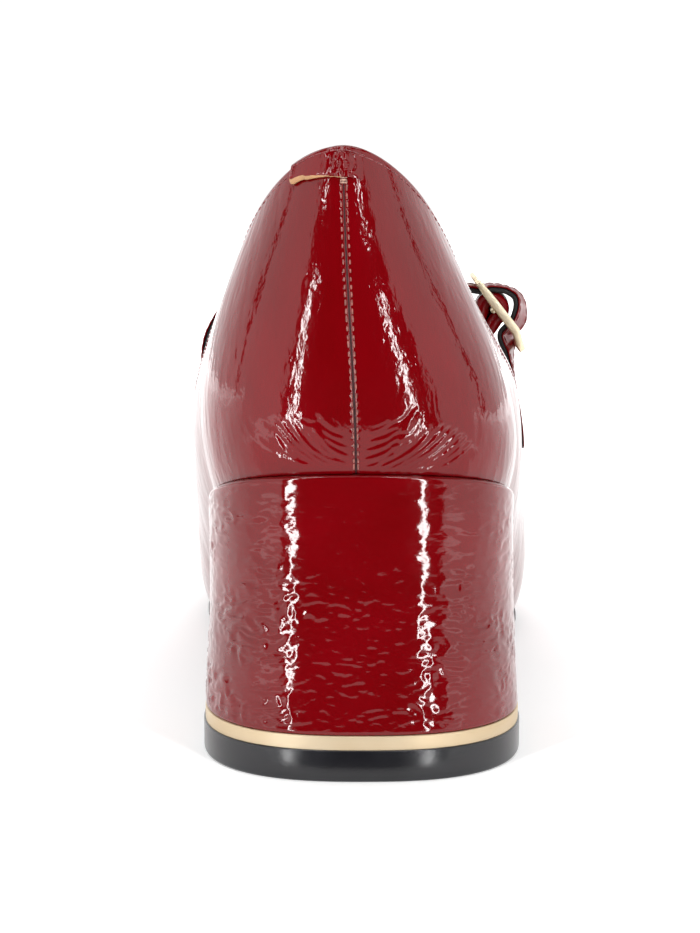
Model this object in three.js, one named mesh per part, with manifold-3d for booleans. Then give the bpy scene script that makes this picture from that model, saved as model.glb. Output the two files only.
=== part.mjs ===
// A right-foot mary jane pump on a wrapped block heel, in millimetres, +Z up, toe towards -Y.
// The origin lies on the floor under the middle of the heel; +X is the medial side of the shoe.
// Shapes are worked out in x, s and z, where s is the distance forward from the back of the heel.
import * as THREE from "three";
import { mergeVertices } from "three/addons/utils/BufferGeometryUtils.js";
import Module from "manifold-3d";

const wasm = await Module();
wasm.setup();

// Driving dimensions of the last and the upper
const LENGTH = 229; // bottom edge of the upper, back to toe
const BALL_WIDTH = 75; // bottom edge of the upper, across the ball
const SEAT_HEIGHT = 57.5; // floor to heel seat, at the back
const BACK_HEIGHT = 59.9; // heel seat to top line, at the back
const THROAT_HEIGHT = 39; // floor to the front of the throat
const TOE_SPRING = 8; // rise of the toe above the tread
const TOE_CURVE = 2.2; // exponent of that rise
const FLAT_FROM = 143; // the tread touches the floor from here, in s
const FLAT_TO = 168;
const WALL = 2; // leather and lining together
const GAP = 0.3; // glue line between pieces that meet on a curve

// Driving dimensions of the bottom
const SOLE = 3;
const SOLE_LEDGE = 0.6; // how far the outsole stands out of the upper's bottom edge
const INSOLE = 2.8;
const HEEL_WIDTH = 62.2; // foot of the heel
const HEEL_DEPTH = 48; // foot of the heel, back to breast
const HEEL_ROUND = 32; // length of the foot's rounded back
const HEEL_SQUARENESS = 2.5; // exponent of that round: 2 is an ellipse
const HEEL_TOP_DEPTH = 53; // back to breast at the seat
const HEEL_LEDGE = 1.2; // how far the heel's top stands out of the upper's bottom edge
const HEEL_HOLLOW = 0.5; // dip of the heel's sides between foot and seat
const HEEL_EDGE = 0.6; // rounding of the heel's top edge
const TOP_PIECE = 6;
const BAND = 2.7;
const BAND_INSET = 0.3;

// Driving dimensions of the strap, the buckle and the tab
const STRAP_PLACE = 112; // where the strap leaves the top line, in s
const STRAP_WIDTH = 12;
const STRAP_THICK = 2.4;
const STRAP_RISE = 40; // top line to the crown of the strap
const STRAP_SEWN = 14; // length of the strap and its short partner inside the quarters
const SEWN_CLEAR = 0.6; // middle of a sewn-in strap to the lining, which curves away from its flat face
const RIM_CLEAR = 0.2; // how much farther the straps stand off the wall at the top line's edge
const STRAP_TAIL = 8.5; // the tail ends this far under the top line
const STRAP_SLACK = 0.7; // air between the short strap's loop and the strap
const CHAPE_THICK = 2.4; // the short strap, two layers sewn together
const LOOP_WALL = 1.7; // its single layer round the centre bar
const BUCKLE_LENGTH = 20.4; // along the strap
const BUCKLE_SHORT = 1.4; // how much shorter its lower end is than its upper end
const BUCKLE_BAR = 2; // width and thickness of the frame's bars
const BUCKLE_CORNER = 1.6;
const BUCKLE_RISE = 22.4; // top line to the centre bar
const BUCKLE_INSET = 1.6; // how far the centre bar lies inwards of the top line
const BUCKLE_LEAN = 36.5; // degrees between the frame and the upright
const BUCKLE_BEND = 23; // degrees that its lower end bends in towards the foot
const BUCKLE_BEND_AT = 4.5; // centre bar to that bend
const SIDE_PLAY = 0.4; // between the strap's edges and the frame
const PRONG = 1.3;
const PRONG_NOTCH = 1; // depth of the notch in the upper end bar that the prong lies in
const TAB_THICK = 0.8;
const TAB_HEIGHT = 6;
const TAB_MEDIAL = 0.031; // its reach from the seam, as a share of the way round the last
const TAB_LATERAL = 0.016;
const TAB_END = 0.66; // its height at its medial end, as a share of TAB_HEIGHT
const TAB_FULL = 0.6; // where it reaches its full height, as a share of its length
const TAB_ROUND = 0.07; // length of the rounding at its medial end
const TAB_CORNER = 0.25; // height lost at that end by the rounding
const TAB_SKIVED = 0.3; // length over which its lateral end thins out
const TAB_THIN = 0.25; // thickness left at that end, as a share of TAB_THICK

// How finely the surfaces are cut
const AROUND = 100;
const UP = 9;
const SLAB_ROWS = 46;
const SLAB_COLUMNS = 4;
const HEEL_STEPS = 12;
const SEAT_RINGS = [0.7, 0.35, 0.02];
const BAND_STEP = 1.5;
const BAR_SIDES = 16;
const TAB_STEPS = 14;

const HEEL_BACK = HEEL_DEPTH / 2; // y of the back of the heel
const TURN = 1e-3; // a small step round the last, for directions
const SLAB_END = 4 * TURN; // the slabs' first and last rows lie this far from the middle line

const vec = (x, s, z) => new THREE.Vector3(x, s, z);
const toPart = (p) => new THREE.Vector3(p.x, HEEL_BACK - p.y, p.z);

// The last

// The bottom line from the heel seat to the tread: share of FLAT_FROM, and share of the seat's rise
const BOTTOM_LINE = [
  { along: 0, rise: 1 },
  { along: 0.21, rise: 0.855 },
  { along: 0.4, rise: 0.705 },
  { along: 0.59, rise: 0.46 },
  { along: 0.785, rise: 0.165 },
  { along: 1, rise: 0 },
];

// Stations round the last from the back to the toe, each one a rib of the upper.
// along, medial and lateral place the bottom edge, as shares of LENGTH and BALL_WIDTH.
// swell and lift are the rib's lower handle: out, of BALL_WIDTH, and up, of the rib's height.
// reach, crown and drop are its upper handle: towards the bottom edge, outwards and down.
// topAlong, topMedial, topLateral and top place the top line; top is a share of its rise to the back.
const STATIONS = [
  { along: 0, medial: 0.016, lateral: -0.016, swell: 0.1, lift: 0.3, reach: 0, crown: 0.11, drop: 0.36,
    topAlong: 0.037, topMedial: 0.047, topLateral: -0.047, top: 1 },
  { along: 0.032, medial: 0.288, lateral: 0.284, swell: 0.085, lift: 0.31, reach: 0, crown: 0.11, drop: 0.36,
    topAlong: 0.072, topMedial: 0.223, topLateral: 0.132, top: 0.9 },
  { along: 0.131, medial: 0.382, lateral: 0.38, swell: 0.067, lift: 0.34, reach: 0, crown: 0.107, drop: 0.38,
    topAlong: 0.149, topMedial: 0.313, topLateral: 0.233, top: 0.735 },
  { along: 0.249, medial: 0.369, lateral: 0.376, swell: 0.067, lift: 0.35, reach: 0, crown: 0.053, drop: 0.35,
    topAlong: 0.249, topMedial: 0.399, topLateral: 0.337, top: 0.547 },
  { along: 0.371, medial: 0.347, lateral: 0.365, swell: 0.12, lift: 0.29, reach: 0, crown: 0.033, drop: 0.31,
    topAlong: 0.367, topMedial: 0.472, topLateral: 0.445, top: 0.356 },
  { along: 0.489, medial: 0.395, lateral: 0.42, swell: 0.1, lift: 0.28, reach: 0, crown: 0.04, drop: 0.28,
    topAlong: 0.485, topMedial: 0.493, topLateral: 0.455, top: 0.217 },
  { along: 0.611, medial: 0.475, lateral: 0.501, swell: 0.075, lift: 0.24, reach: 0.4, crown: 0.07, drop: 0.22,
    topAlong: 0.59, topMedial: 0.45, topLateral: 0.435, top: 0.121 },
  { along: 0.729, medial: 0.495, lateral: 0.482, swell: 0.063, lift: 0.28, reach: 0.55, crown: 0.07, drop: 0.17,
    topAlong: 0.664, topMedial: 0.357, topLateral: 0.35, top: 0.061 },
  { along: 0.838, medial: 0.445, lateral: 0.4, swell: 0.06, lift: 0.32, reach: 0.6, crown: 0.06, drop: 0.17,
    topAlong: 0.712, topMedial: 0.243, topLateral: 0.237, top: 0.026 },
  { along: 0.94, medial: 0.308, lateral: 0.244, swell: 0.055, lift: 0.38, reach: 0.6, crown: 0.04, drop: 0.25,
    topAlong: 0.74, topMedial: 0.125, topLateral: 0.12, top: 0.006 },
  { along: 1, medial: 0.045, lateral: -0.045, swell: 0.05, lift: 0.44, reach: 0.58, crown: 0, drop: 0.29,
    topAlong: 0.749, topMedial: 0.007, topLateral: -0.007, top: 0 },
];

// A smooth closed curve through rows of numbers: a cubic B-spline whose control values are relaxed
// until it passes through them. Its parameter runs from 0 to 1.
function closedCurve(rows) {
  const n = rows.length;
  const at = (list, i) => list[((i % n) + n) % n];
  const relax = (list) => rows.map((row, i) =>
    row.map((v, k) => (6 * v - at(list, i - 1)[k] - at(list, i + 1)[k]) / 4));
  let control = rows;
  for (let pass = 0; pass < 40; pass++) control = relax(control);
  return (turn) => {
    const i = Math.floor(turn * n);
    const f = turn * n - i;
    const weights = [(1 - f) ** 3, 3 * f ** 3 - 6 * f ** 2 + 4, -3 * f ** 3 + 3 * f ** 2 + 3 * f + 1, f ** 3];
    return rows[0].map((_, k) =>
      weights.reduce((sum, weight, j) => sum + (weight * at(control, i - 1 + j)[k]) / 6, 0));
  };
}

// A cubic spline of y over x that starts straight and ends level.
function levelEnded(x, y) {
  const n = x.length - 1;
  const h = x.slice(1).map((v, i) => v - x[i]);
  const slope = h.map((v, i) => (y[i + 1] - y[i]) / v);
  const pivot = [1];
  const right = [0];
  for (let i = 1; i <= n; i++) {
    const last = i === n;
    const factor = i === 1 ? 0 : h[i - 1] / pivot[i - 1];
    pivot[i] = (last ? 2 * h[i - 1] : 2 * (h[i - 1] + h[i])) - factor * h[i - 1];
    right[i] = 6 * ((last ? 0 : slope[i]) - slope[i - 1]) - factor * right[i - 1];
  }
  const bend = [0];
  bend[n] = right[n] / pivot[n];
  for (let i = n - 1; i > 0; i--) bend[i] = (right[i] - h[i] * bend[i + 1]) / pivot[i];
  return (v) => {
    const i = Math.max(0, Math.min(n - 1, x.findIndex((edge) => edge > v) - 1));
    const a = x[i + 1] - v;
    const b = v - x[i];
    return (bend[i] * a ** 3 + bend[i + 1] * b ** 3) / (6 * h[i]) +
      (y[i] / h[i] - (bend[i] * h[i]) / 6) * a + (y[i + 1] / h[i] - (bend[i + 1] * h[i]) / 6) * b;
  };
}

const arch = levelEnded(BOTTOM_LINE.map((row) => row.along * FLAT_FROM), BOTTOM_LINE.map((row) => row.rise));

// Height of the top of the sole and the heel at s: the line that the upper stands on.
function bottomLine(s) {
  if (s < FLAT_FROM) return SOLE + (SEAT_HEIGHT - SOLE) * arch(s);
  const toe = Math.max(0, (s - FLAT_TO) / (LENGTH - FLAT_TO));
  return SOLE + TOE_SPRING * toe ** TOE_CURVE;
}

// The ribs in order round the last: back, lateral side, toe, medial side.
const ribs = [
  ...STATIONS.slice(0, -1).map((row) => ({ ...row, side: -1, out: row.lateral, topOut: row.topLateral })),
  ...STATIONS.slice(1).reverse().map((row) => ({ ...row, side: 1, out: row.medial, topOut: row.topMedial })),
];
for (const rib of ribs) {
  rib.foot = [rib.side * rib.out * BALL_WIDTH, rib.along * LENGTH];
  rib.head = [
    rib.side * rib.topOut * BALL_WIDTH,
    rib.topAlong * LENGTH,
    THROAT_HEIGHT + rib.top * (SEAT_HEIGHT + BACK_HEIGHT - THROAT_HEIGHT),
  ];
}
for (const [i, rib] of ribs.entries()) {
  const before = ribs[(i + ribs.length - 1) % ribs.length].foot;
  const after = ribs[(i + 1) % ribs.length].foot;
  const out = new THREE.Vector2(before[1] - after[1], after[0] - before[0]).normalize();
  const height = rib.head[2] - bottomLine(rib.foot[1]);
  const swell = rib.swell * BALL_WIDTH;
  const crown = rib.crown * BALL_WIDTH;
  rib.low = [out.x * swell, out.y * swell, rib.lift * height];
  rib.high = [
    rib.reach * (rib.foot[0] - rib.head[0]) + out.x * crown,
    rib.reach * (rib.foot[1] - rib.head[1]) + out.y * crown,
    -rib.drop * height,
  ];
}
const bottomEdge = closedCurve(ribs.map((rib) => rib.foot));
const topLine = closedCurve(ribs.map((rib) => rib.head));
const lowHandle = closedCurve(ribs.map((rib) => rib.low));
const highHandle = closedCurve(ribs.map((rib) => rib.high));

// The upper's outside: turn runs round the last from 0 to 1, t runs up the rib from 0 to 1.
function outside(turn, t) {
  const [x, s] = bottomEdge(turn);
  const foot = vec(x, s, bottomLine(s) + GAP);
  const head = vec(...topLine(turn));
  const low = vec(...lowHandle(turn)).add(foot);
  const high = vec(...highHandle(turn)).add(head);
  return new THREE.CubicBezierCurve3(foot, low, high, head).getPoint(t);
}

// Directions at a place of the upper: forward round the last, and out of the leather.
function directions(turn, t) {
  const step = 4 * TURN;
  const round = outside(turn + step, t).sub(outside(turn - step, t));
  const up = outside(turn, Math.min(1, t + step)).sub(outside(turn, Math.max(0, t - step)));
  return { round: round.clone().normalize(), out: up.cross(round).normalize() };
}

// A place at some depth under the upper's outside; a negative depth lies outside the shoe.
function inUpper(turn, t, depth) {
  return outside(turn, t).addScaledVector(directions(turn, t).out, -depth);
}

// Where a curve round the last reaches distance s on a side: -1 lateral, 1 medial.
function turnAt(curve, s, side) {
  let low = 0;
  let high = 0.5;
  for (let pass = 0; pass < 40; pass++) {
    const middle = (low + high) / 2;
    if (curve(side < 0 ? middle : 1 - middle)[1] < s) low = middle;
    else high = middle;
  }
  return side < 0 ? low : 1 - low;
}

// How far up the rib a place lies that is some height under the top line.
function underTop(turn, height) {
  const goal = outside(turn, 1).z - height;
  let low = 0;
  let high = 1;
  for (let pass = 0; pass < 40; pass++) {
    const middle = (low + high) / 2;
    if (outside(turn, middle).z < goal) low = middle;
    else high = middle;
  }
  return low;
}

// The bottom edge moved outwards by a ledge, in plan.
function ledgeEdge(turn, ledge) {
  const [x, s] = bottomEdge(turn);
  const [x1, s1] = bottomEdge(turn + TURN);
  const [x0, s0] = bottomEdge(turn - TURN);
  return new THREE.Vector2(s0 - s1, x1 - x0).setLength(ledge).add(new THREE.Vector2(x, s));
}

// Closed solids

// A solid through rings of equally many points. Ends are closed by strips across the ring.
function ringSolid(rings, joined = false) {
  const n = rings[0].length;
  const index = [];
  const count = joined ? rings.length : rings.length - 1;
  for (let i = 0; i < count; i++)
    for (let j = 0; j < n; j++) {
      const next = ((i + 1) % rings.length) * n;
      const side = (j + 1) % n;
      index.push(i * n + j, i * n + side, next + side);
      index.push(i * n + j, next + side, next + j);
    }
  const end = (rings.length - 1) * n;
  for (let low = 0, high = n - 1; !joined && high - low > 1; low++, high--) {
    index.push(low, high, low + 1);
    index.push(end + low, end + low + 1, end + high);
    if (high - low === 2) break;
    index.push(low + 1, high, high - 1);
    index.push(end + low + 1, end + high - 1, end + high);
  }
  const positions = rings.flat().map(toPart).flatMap((p) => [p.x, p.y, p.z]);
  const geometry = new THREE.BufferGeometry();
  geometry.setAttribute("position", new THREE.Float32BufferAttribute(positions, 3));
  geometry.setIndex(index);
  if (volumeOf(geometry) < 0) geometry.index.array.reverse();
  return geometry;
}

function volumeOf(geometry) {
  const places = geometry.getAttribute("position");
  const corner = (i) => new THREE.Vector3().fromBufferAttribute(places, geometry.index.getX(i));
  let sum = 0;
  for (let i = 0; i < geometry.index.count; i += 3)
    sum += corner(i).dot(corner(i + 1).cross(corner(i + 2))) / 6;
  return sum;
}

// A three.js geometry as a solid that can be joined and cut, and back.
function asSolid(geometry) {
  const bare = geometry.clone();
  bare.deleteAttribute("normal");
  bare.deleteAttribute("uv");
  const merged = mergeVertices(bare, 1e-4);
  return new wasm.Manifold(new wasm.Mesh({
    numProp: 3,
    vertProperties: new Float32Array(merged.attributes.position.array),
    triVerts: new Uint32Array(merged.index.array),
  }));
}

function asGeometry(solid) {
  const mesh = solid.getMesh();
  const geometry = new THREE.BufferGeometry();
  geometry.setAttribute("position", new THREE.BufferAttribute(mesh.vertProperties, 3));
  geometry.setIndex(new THREE.BufferAttribute(mesh.triVerts, 1));
  return geometry;
}

// Upper: one wall, open at the top line and underneath

function upper() {
  const rows = Array.from({ length: UP + 1 }, (_, j) => j / UP);
  const rings = Array.from({ length: AROUND }, (_, i) => [
    ...rows.map((t) => inUpper(i / AROUND, t, 0)),
    ...rows.toReversed().map((t) => inUpper(i / AROUND, t, WALL)),
  ]);
  return ringSolid(rings, true);
}

// Outsole and insole: slabs across the shoe whose edges follow the upper's bottom edge

function slab({ from, ledge, bottom, thick }) {
  const toe = 0.5 - SLAB_END;
  const rings = [];
  for (let i = 0; i <= SLAB_ROWS; i++) {
    const share = 0.5 - 0.5 * Math.cos((Math.PI * i) / SLAB_ROWS);
    const lateral = ledgeEdge(THREE.MathUtils.lerp(from.lateral, toe, share), ledge);
    const medial = ledgeEdge(THREE.MathUtils.lerp(from.medial, 1 - toe, share), ledge);
    const across = (_, j) => lateral.clone().lerp(medial, j / SLAB_COLUMNS);
    const line = Array.from({ length: SLAB_COLUMNS + 1 }, across);
    const level = (p, height) => vec(p.x, p.y, bottomLine(p.y) + height);
    rings.push([
      ...line.map((p) => level(p, bottom)),
      ...line.toReversed().map((p) => level(p, bottom + thick)),
    ]);
  }
  return ringSolid(rings);
}

function outsole() {
  const start = HEEL_TOP_DEPTH + GAP;
  return slab({
    from: { lateral: turnAt(bottomEdge, start, -1), medial: turnAt(bottomEdge, start, 1) },
    ledge: SOLE_LEDGE,
    bottom: -SOLE,
    thick: SOLE,
  });
}

function insole() {
  return slab({
    from: { lateral: SLAB_END, medial: 1 - SLAB_END },
    ledge: -WALL - GAP,
    bottom: GAP,
    thick: INSOLE,
  });
}

// Heel: a block lofted from its foot up to the seat, a metal band and a top piece under it

// The outline of the heel's foot in plan, from the lateral end of the breast round the back
function heelFoot(inset) {
  const half = HEEL_WIDTH / 2 - inset;
  const round = HEEL_ROUND - inset;
  const medialHalf = Array.from({ length: HEEL_STEPS + 1 }, (_, i) => {
    const angle = ((Math.PI / 2) * i) / HEEL_STEPS;
    return new THREE.Vector2(
      half * Math.sin(angle) ** (2 / HEEL_SQUARENESS),
      HEEL_ROUND - round * Math.cos(angle) ** (2 / HEEL_SQUARENESS),
    );
  });
  for (const s of [(HEEL_ROUND + HEEL_DEPTH) / 2, HEEL_DEPTH]) medialHalf.push(new THREE.Vector2(half, s));
  const lateralHalf = medialHalf.slice(1).reverse().map((p) => new THREE.Vector2(-p.x, p.y));
  return [...lateralHalf, ...medialHalf];
}

function heelPlate(bottom, thick, inset) {
  const ring = (z) => heelFoot(inset).map((p) => vec(p.x, p.y, z));
  return ringSolid([ring(bottom), ring(bottom + thick)]);
}

function heelBlock() {
  const foot = heelFoot(BAND_INSET);
  const back = (foot.length - 1) / 2;
  const lateral = turnAt(bottomEdge, HEEL_TOP_DEPTH, -1);
  const medial = turnAt(bottomEdge, HEEL_TOP_DEPTH, 1) - 1;
  const seat = foot.map((_, i) => {
    const share = (i - back) / back;
    const p = ledgeEdge(share < 0 ? -share * lateral : share * medial, HEEL_LEDGE);
    return new THREE.Vector2(p.x, Math.abs(share) === 1 ? HEEL_TOP_DEPTH : p.y);
  });
  const base = TOP_PIECE + BAND;
  const middle = new THREE.Vector2(0, HEEL_ROUND);
  const edgeLevel = 1 - HEEL_EDGE / (SEAT_HEIGHT - base);
  const rings = [0, 0.25, 0.5, 0.75, edgeLevel, 1].map((level) => foot.map((p, i) => {
    const at = p.clone().lerp(seat[i], level);
    const inwards = HEEL_HOLLOW * Math.sin(Math.PI * level) + (level === 1 ? HEEL_EDGE : 0);
    at.add(middle.clone().sub(at).setLength(inwards));
    return vec(at.x, at.y, THREE.MathUtils.lerp(base, bottomLine(at.y), level));
  }));
  const rim = rings.at(-1);
  for (const share of SEAT_RINGS)
    rings.push(rim.map((p) => {
      const at = middle.clone().lerp(new THREE.Vector2(p.x, p.y), share);
      return vec(at.x, at.y, bottomLine(at.y));
    }));
  return ringSolid(rings);
}

// Straps: bands through rows of a middle place and the direction across the band

function band(rows, { width, thick, roundTip = false }) {
  const path = new THREE.CatmullRomCurve3(rows.map((row) => row.at), false, "centripetal");
  const length = path.getLength();
  const steps = Math.round(length / BAND_STEP);
  const edge = thick / 4;
  const rings = [];
  for (let i = 0; i <= steps; i++) {
    const place = path.getUtoTmapping(i / steps) * (rows.length - 1);
    const k = Math.min(Math.floor(place), rows.length - 2);
    const along = path.getTangentAt(i / steps);
    const across = rows[k].across.clone().lerp(rows[k + 1].across, place - k);
    across.addScaledVector(along, -across.dot(along)).normalize();
    const out = across.clone().cross(along).normalize();
    const left = length * (1 - i / steps) + edge;
    const tip = roundTip ? Math.max(0, 1 - (2 * left) / width) : 0;
    const half = (width / 2) * Math.sqrt(1 - tip ** 2);
    const corner = (a, b) => path.getPointAt(i / steps).addScaledVector(across, a).addScaledVector(out, b);
    rings.push([
      corner(-half, thick / 2 - edge),
      corner(-half + edge, thick / 2),
      corner(half - edge, thick / 2),
      corner(half, thick / 2 - edge),
      corner(half, edge - thick / 2),
      corner(half - edge, -thick / 2),
      corner(edge - half, -thick / 2),
      corner(-half, edge - thick / 2),
    ]);
  }
  return ringSolid(rings);
}

const strapTurn = { lateral: turnAt(topLine, STRAP_PLACE, -1), medial: turnAt(topLine, STRAP_PLACE, 1) };
const strapFoot = { lateral: outside(strapTurn.lateral, 1), medial: outside(strapTurn.medial, 1) };
const FORWARD = vec(0, 1, 0);

// A row that lies on the wall of the upper, some height under the top line
function onWall(turn, height, depth) {
  const t = underTop(turn, height);
  const across = directions(turn, t).round;
  return { at: inUpper(turn, t, depth), across: across.multiplyScalar(Math.sign(across.y)) };
}

// The buckle lies in a plane that leans over the lateral quarter: along runs down it, above out of it.
const lean = THREE.MathUtils.degToRad(BUCKLE_LEAN);
const buckle = {
  middle: strapFoot.lateral.clone().add(vec(BUCKLE_INSET, 0, BUCKLE_RISE)),
  along: vec(-Math.sin(lean), 0, -Math.cos(lean)),
  above: vec(-Math.cos(lean), 0, Math.sin(lean)),
};
buckle.matrix = new THREE.Matrix4()
  .makeBasis(buckle.along, FORWARD, buckle.above)
  .setPosition(buckle.middle);
const loopHole = BUCKLE_BAR / 2 + GAP;
const loopRadius = loopHole + LOOP_WALL;
const strapUnder = BUCKLE_BAR / 2 + STRAP_THICK / 2 + SIDE_PLAY;
const strapOver = loopRadius + STRAP_THICK / 2 + STRAP_SLACK;

function atBuckle(along, above) {
  return vec(along, 0, above).applyMatrix4(buckle.matrix);
}

// The strap over the instep: across is a share of the way between the two top lines, rise one of
// STRAP_RISE, back the shift towards the heel as a share of STRAP_WIDTH, tilt its slope in degrees.
const STRAP_ARCH = [
  { across: 0.028, rise: 0.275, back: 0.05, tilt: 2 },
  { across: 0.038, rise: 0.425, back: 0.12, tilt: 5 },
  { across: 0.086, rise: 0.58, back: 0.22, tilt: 9 },
  { across: 0.185, rise: 0.79, back: 0.38, tilt: 17 },
  { across: 0.338, rise: 0.95, back: 0.5, tilt: 25 },
  { across: 0.519, rise: 1, back: 0.5, tilt: 26 },
  { across: 0.686, rise: 0.912, back: 0.3, tilt: 16 },
];

// The strap through the buckle: along is a share of half the frame; level is 1 over the centre bar
// and -1 right under an end bar.
const STRAP_WEAVE = [
  { along: -1.33, level: -1.62 },
  { along: -1.02, level: -1.36 },
  { along: -0.84, level: -1.25 },
  { along: -0.66, level: -0.84 },
  { along: -0.49, level: 0.2 },
  { along: -0.31, level: 0.8 },
  { along: 0, level: 0.97 },
  { along: 0.33, level: 0.69 },
  { along: 0.45, level: -0.15 },
  { along: 0.52, level: -1.35 },
  { along: 0.8, level: -2.1 },
  { along: 1.05, level: -2.9 },
];

function instepStrap() {
  const inner = WALL + SEWN_CLEAR + STRAP_THICK / 2;
  const outer = -GAP - STRAP_THICK / 2;
  const span = strapFoot.lateral.x - strapFoot.medial.x;
  const arched = STRAP_ARCH.map((row) => {
    const tilt = THREE.MathUtils.degToRad(row.tilt);
    const shift = vec(row.across * span, -row.back * STRAP_WIDTH, row.rise * STRAP_RISE);
    return { at: strapFoot.medial.clone().add(shift), across: vec(0, Math.cos(tilt), -Math.sin(tilt)) };
  });
  const woven = STRAP_WEAVE.map((row) => ({
    at: atBuckle((row.along * BUCKLE_LENGTH) / 2, row.level * (row.level < 0 ? strapUnder : strapOver)),
    across: FORWARD,
  }));
  const rows = [
    onWall(strapTurn.medial, STRAP_SEWN, inner),
    onWall(strapTurn.medial, STRAP_SEWN / 2, inner),
    onWall(strapTurn.medial, 0, inner + RIM_CLEAR),
    ...arched,
    ...woven,
    onWall(strapTurn.lateral, 0, outer - RIM_CLEAR),
    onWall(strapTurn.lateral, STRAP_TAIL / 2, outer),
    onWall(strapTurn.lateral, STRAP_TAIL, outer),
  ];
  const strap = asSolid(band(rows, { width: STRAP_WIDTH, thick: STRAP_THICK, roundTip: true }));
  return asGeometry(strap.subtract(prongWay()));
}

// A geometry built in the buckle's own plane, put in the part
function placed(geometry) {
  geometry.applyMatrix4(buckle.matrix);
  geometry.applyMatrix4(new THREE.Matrix4().set(1, 0, 0, 0, 0, -1, 0, HEEL_BACK, 0, 0, 1, 0, 0, 0, 0, 1));
  const indexed = geometry.index ? geometry : mergeVertices(geometry);
  if (volumeOf(indexed) < 0) indexed.index.array.reverse();
  return indexed;
}

function roundedRectangle(Path, long, wide, corner) {
  const path = new Path();
  const x = long / 2 - corner;
  const y = wide / 2 - corner;
  path.absarc(x, y, corner, 0, Math.PI / 2);
  path.absarc(-x, y, corner, Math.PI / 2, Math.PI);
  path.absarc(-x, -y, corner, Math.PI, 1.5 * Math.PI);
  path.absarc(x, -y, corner, 1.5 * Math.PI, 2 * Math.PI);
  path.closePath();
  return path;
}

// Buckle: a rectangular frame, bent near its lower end, with a round centre bar

const frameWidth = STRAP_WIDTH + 2 * SIDE_PLAY + 2 * BUCKLE_BAR;

function buckleFrame() {
  const half = BUCKLE_LENGTH / 2;
  const drop = (half - BUCKLE_BEND_AT) * Math.tan(THREE.MathUtils.degToRad(BUCKLE_BEND));
  const profile = [
    [-half - BUCKLE_BAR, 0],
    [BUCKLE_BEND_AT, 0],
    [half, -drop],
  ];
  const side = new THREE.Shape([
    ...profile.map(([along, above]) => new THREE.Vector2(along, above + BUCKLE_BAR / 2)),
    ...profile.toReversed().map(([along, above]) => new THREE.Vector2(along, above - BUCKLE_BAR / 2)),
  ]);
  const plate = new THREE.ExtrudeGeometry(side, { depth: 2 * frameWidth, bevelEnabled: false });
  plate.rotateX(Math.PI / 2).translate(0, frameWidth, 0);
  const long = BUCKLE_LENGTH - BUCKLE_SHORT;
  const outline = roundedRectangle(THREE.Shape, long, frameWidth, BUCKLE_CORNER);
  const clearLength = long - 2 * BUCKLE_BAR;
  const clearWidth = frameWidth - 2 * BUCKLE_BAR;
  outline.holes.push(roundedRectangle(THREE.Path, clearLength, clearWidth, BUCKLE_BAR / 4));
  const through = { depth: BUCKLE_LENGTH, bevelEnabled: false, curveSegments: 4 };
  const ring = new THREE.ExtrudeGeometry(outline, through).translate(-BUCKLE_SHORT / 2, 0, -half);
  const radius = BUCKLE_BAR / 2;
  const bar = new THREE.CylinderGeometry(radius, radius, frameWidth - BUCKLE_BAR, BAR_SIDES);
  bar.rotateY(Math.PI / BAR_SIDES);
  const frame = asSolid(placed(plate)).intersect(asSolid(placed(ring)));
  return asGeometry(frame.subtract(prongWay()).add(asSolid(placed(bar))));
}

// Prong: a ring round the centre bar and a pin that lies in a notch of the upper end bar

const prongRing = loopHole + PRONG / 2;
const prongLength = BUCKLE_LENGTH / 2 - prongRing;
const prongMiddle = prongRing + prongLength / 2;
const prongLevel = BUCKLE_BAR / 2 + GAP + PRONG / 2 - PRONG_NOTCH;

function buckleProng() {
  const ring = new THREE.TorusGeometry(prongRing, PRONG / 2, 10, 24);
  ring.rotateX(Math.PI / 2);
  const pin = new THREE.CapsuleGeometry(PRONG / 2, prongLength, 4, 10);
  pin.rotateZ(Math.PI / 2).translate(-prongMiddle, 0, prongLevel);
  return asGeometry(asSolid(placed(ring)).add(asSolid(placed(pin))));
}

// The room that the pin takes in the strap and in the end bar
function prongWay() {
  const radius = PRONG / 2 + GAP;
  const way = new THREE.CylinderGeometry(radius, radius, prongLength + 4 * radius, 14);
  way.rotateZ(Math.PI / 2).translate(-prongMiddle - 2 * radius, 0, prongLevel);
  return asSolid(placed(way));
}

// Short strap: folded round the centre bar, with a slot for the prong, and sewn inside the quarter

// Its way from the loop down to the quarter: shares of half the frame and of BUCKLE_RISE
const CHAPE_PATH = [
  { along: 0.2, under: 0.19 },
  { along: 0.72, under: 0.43 },
];

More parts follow.
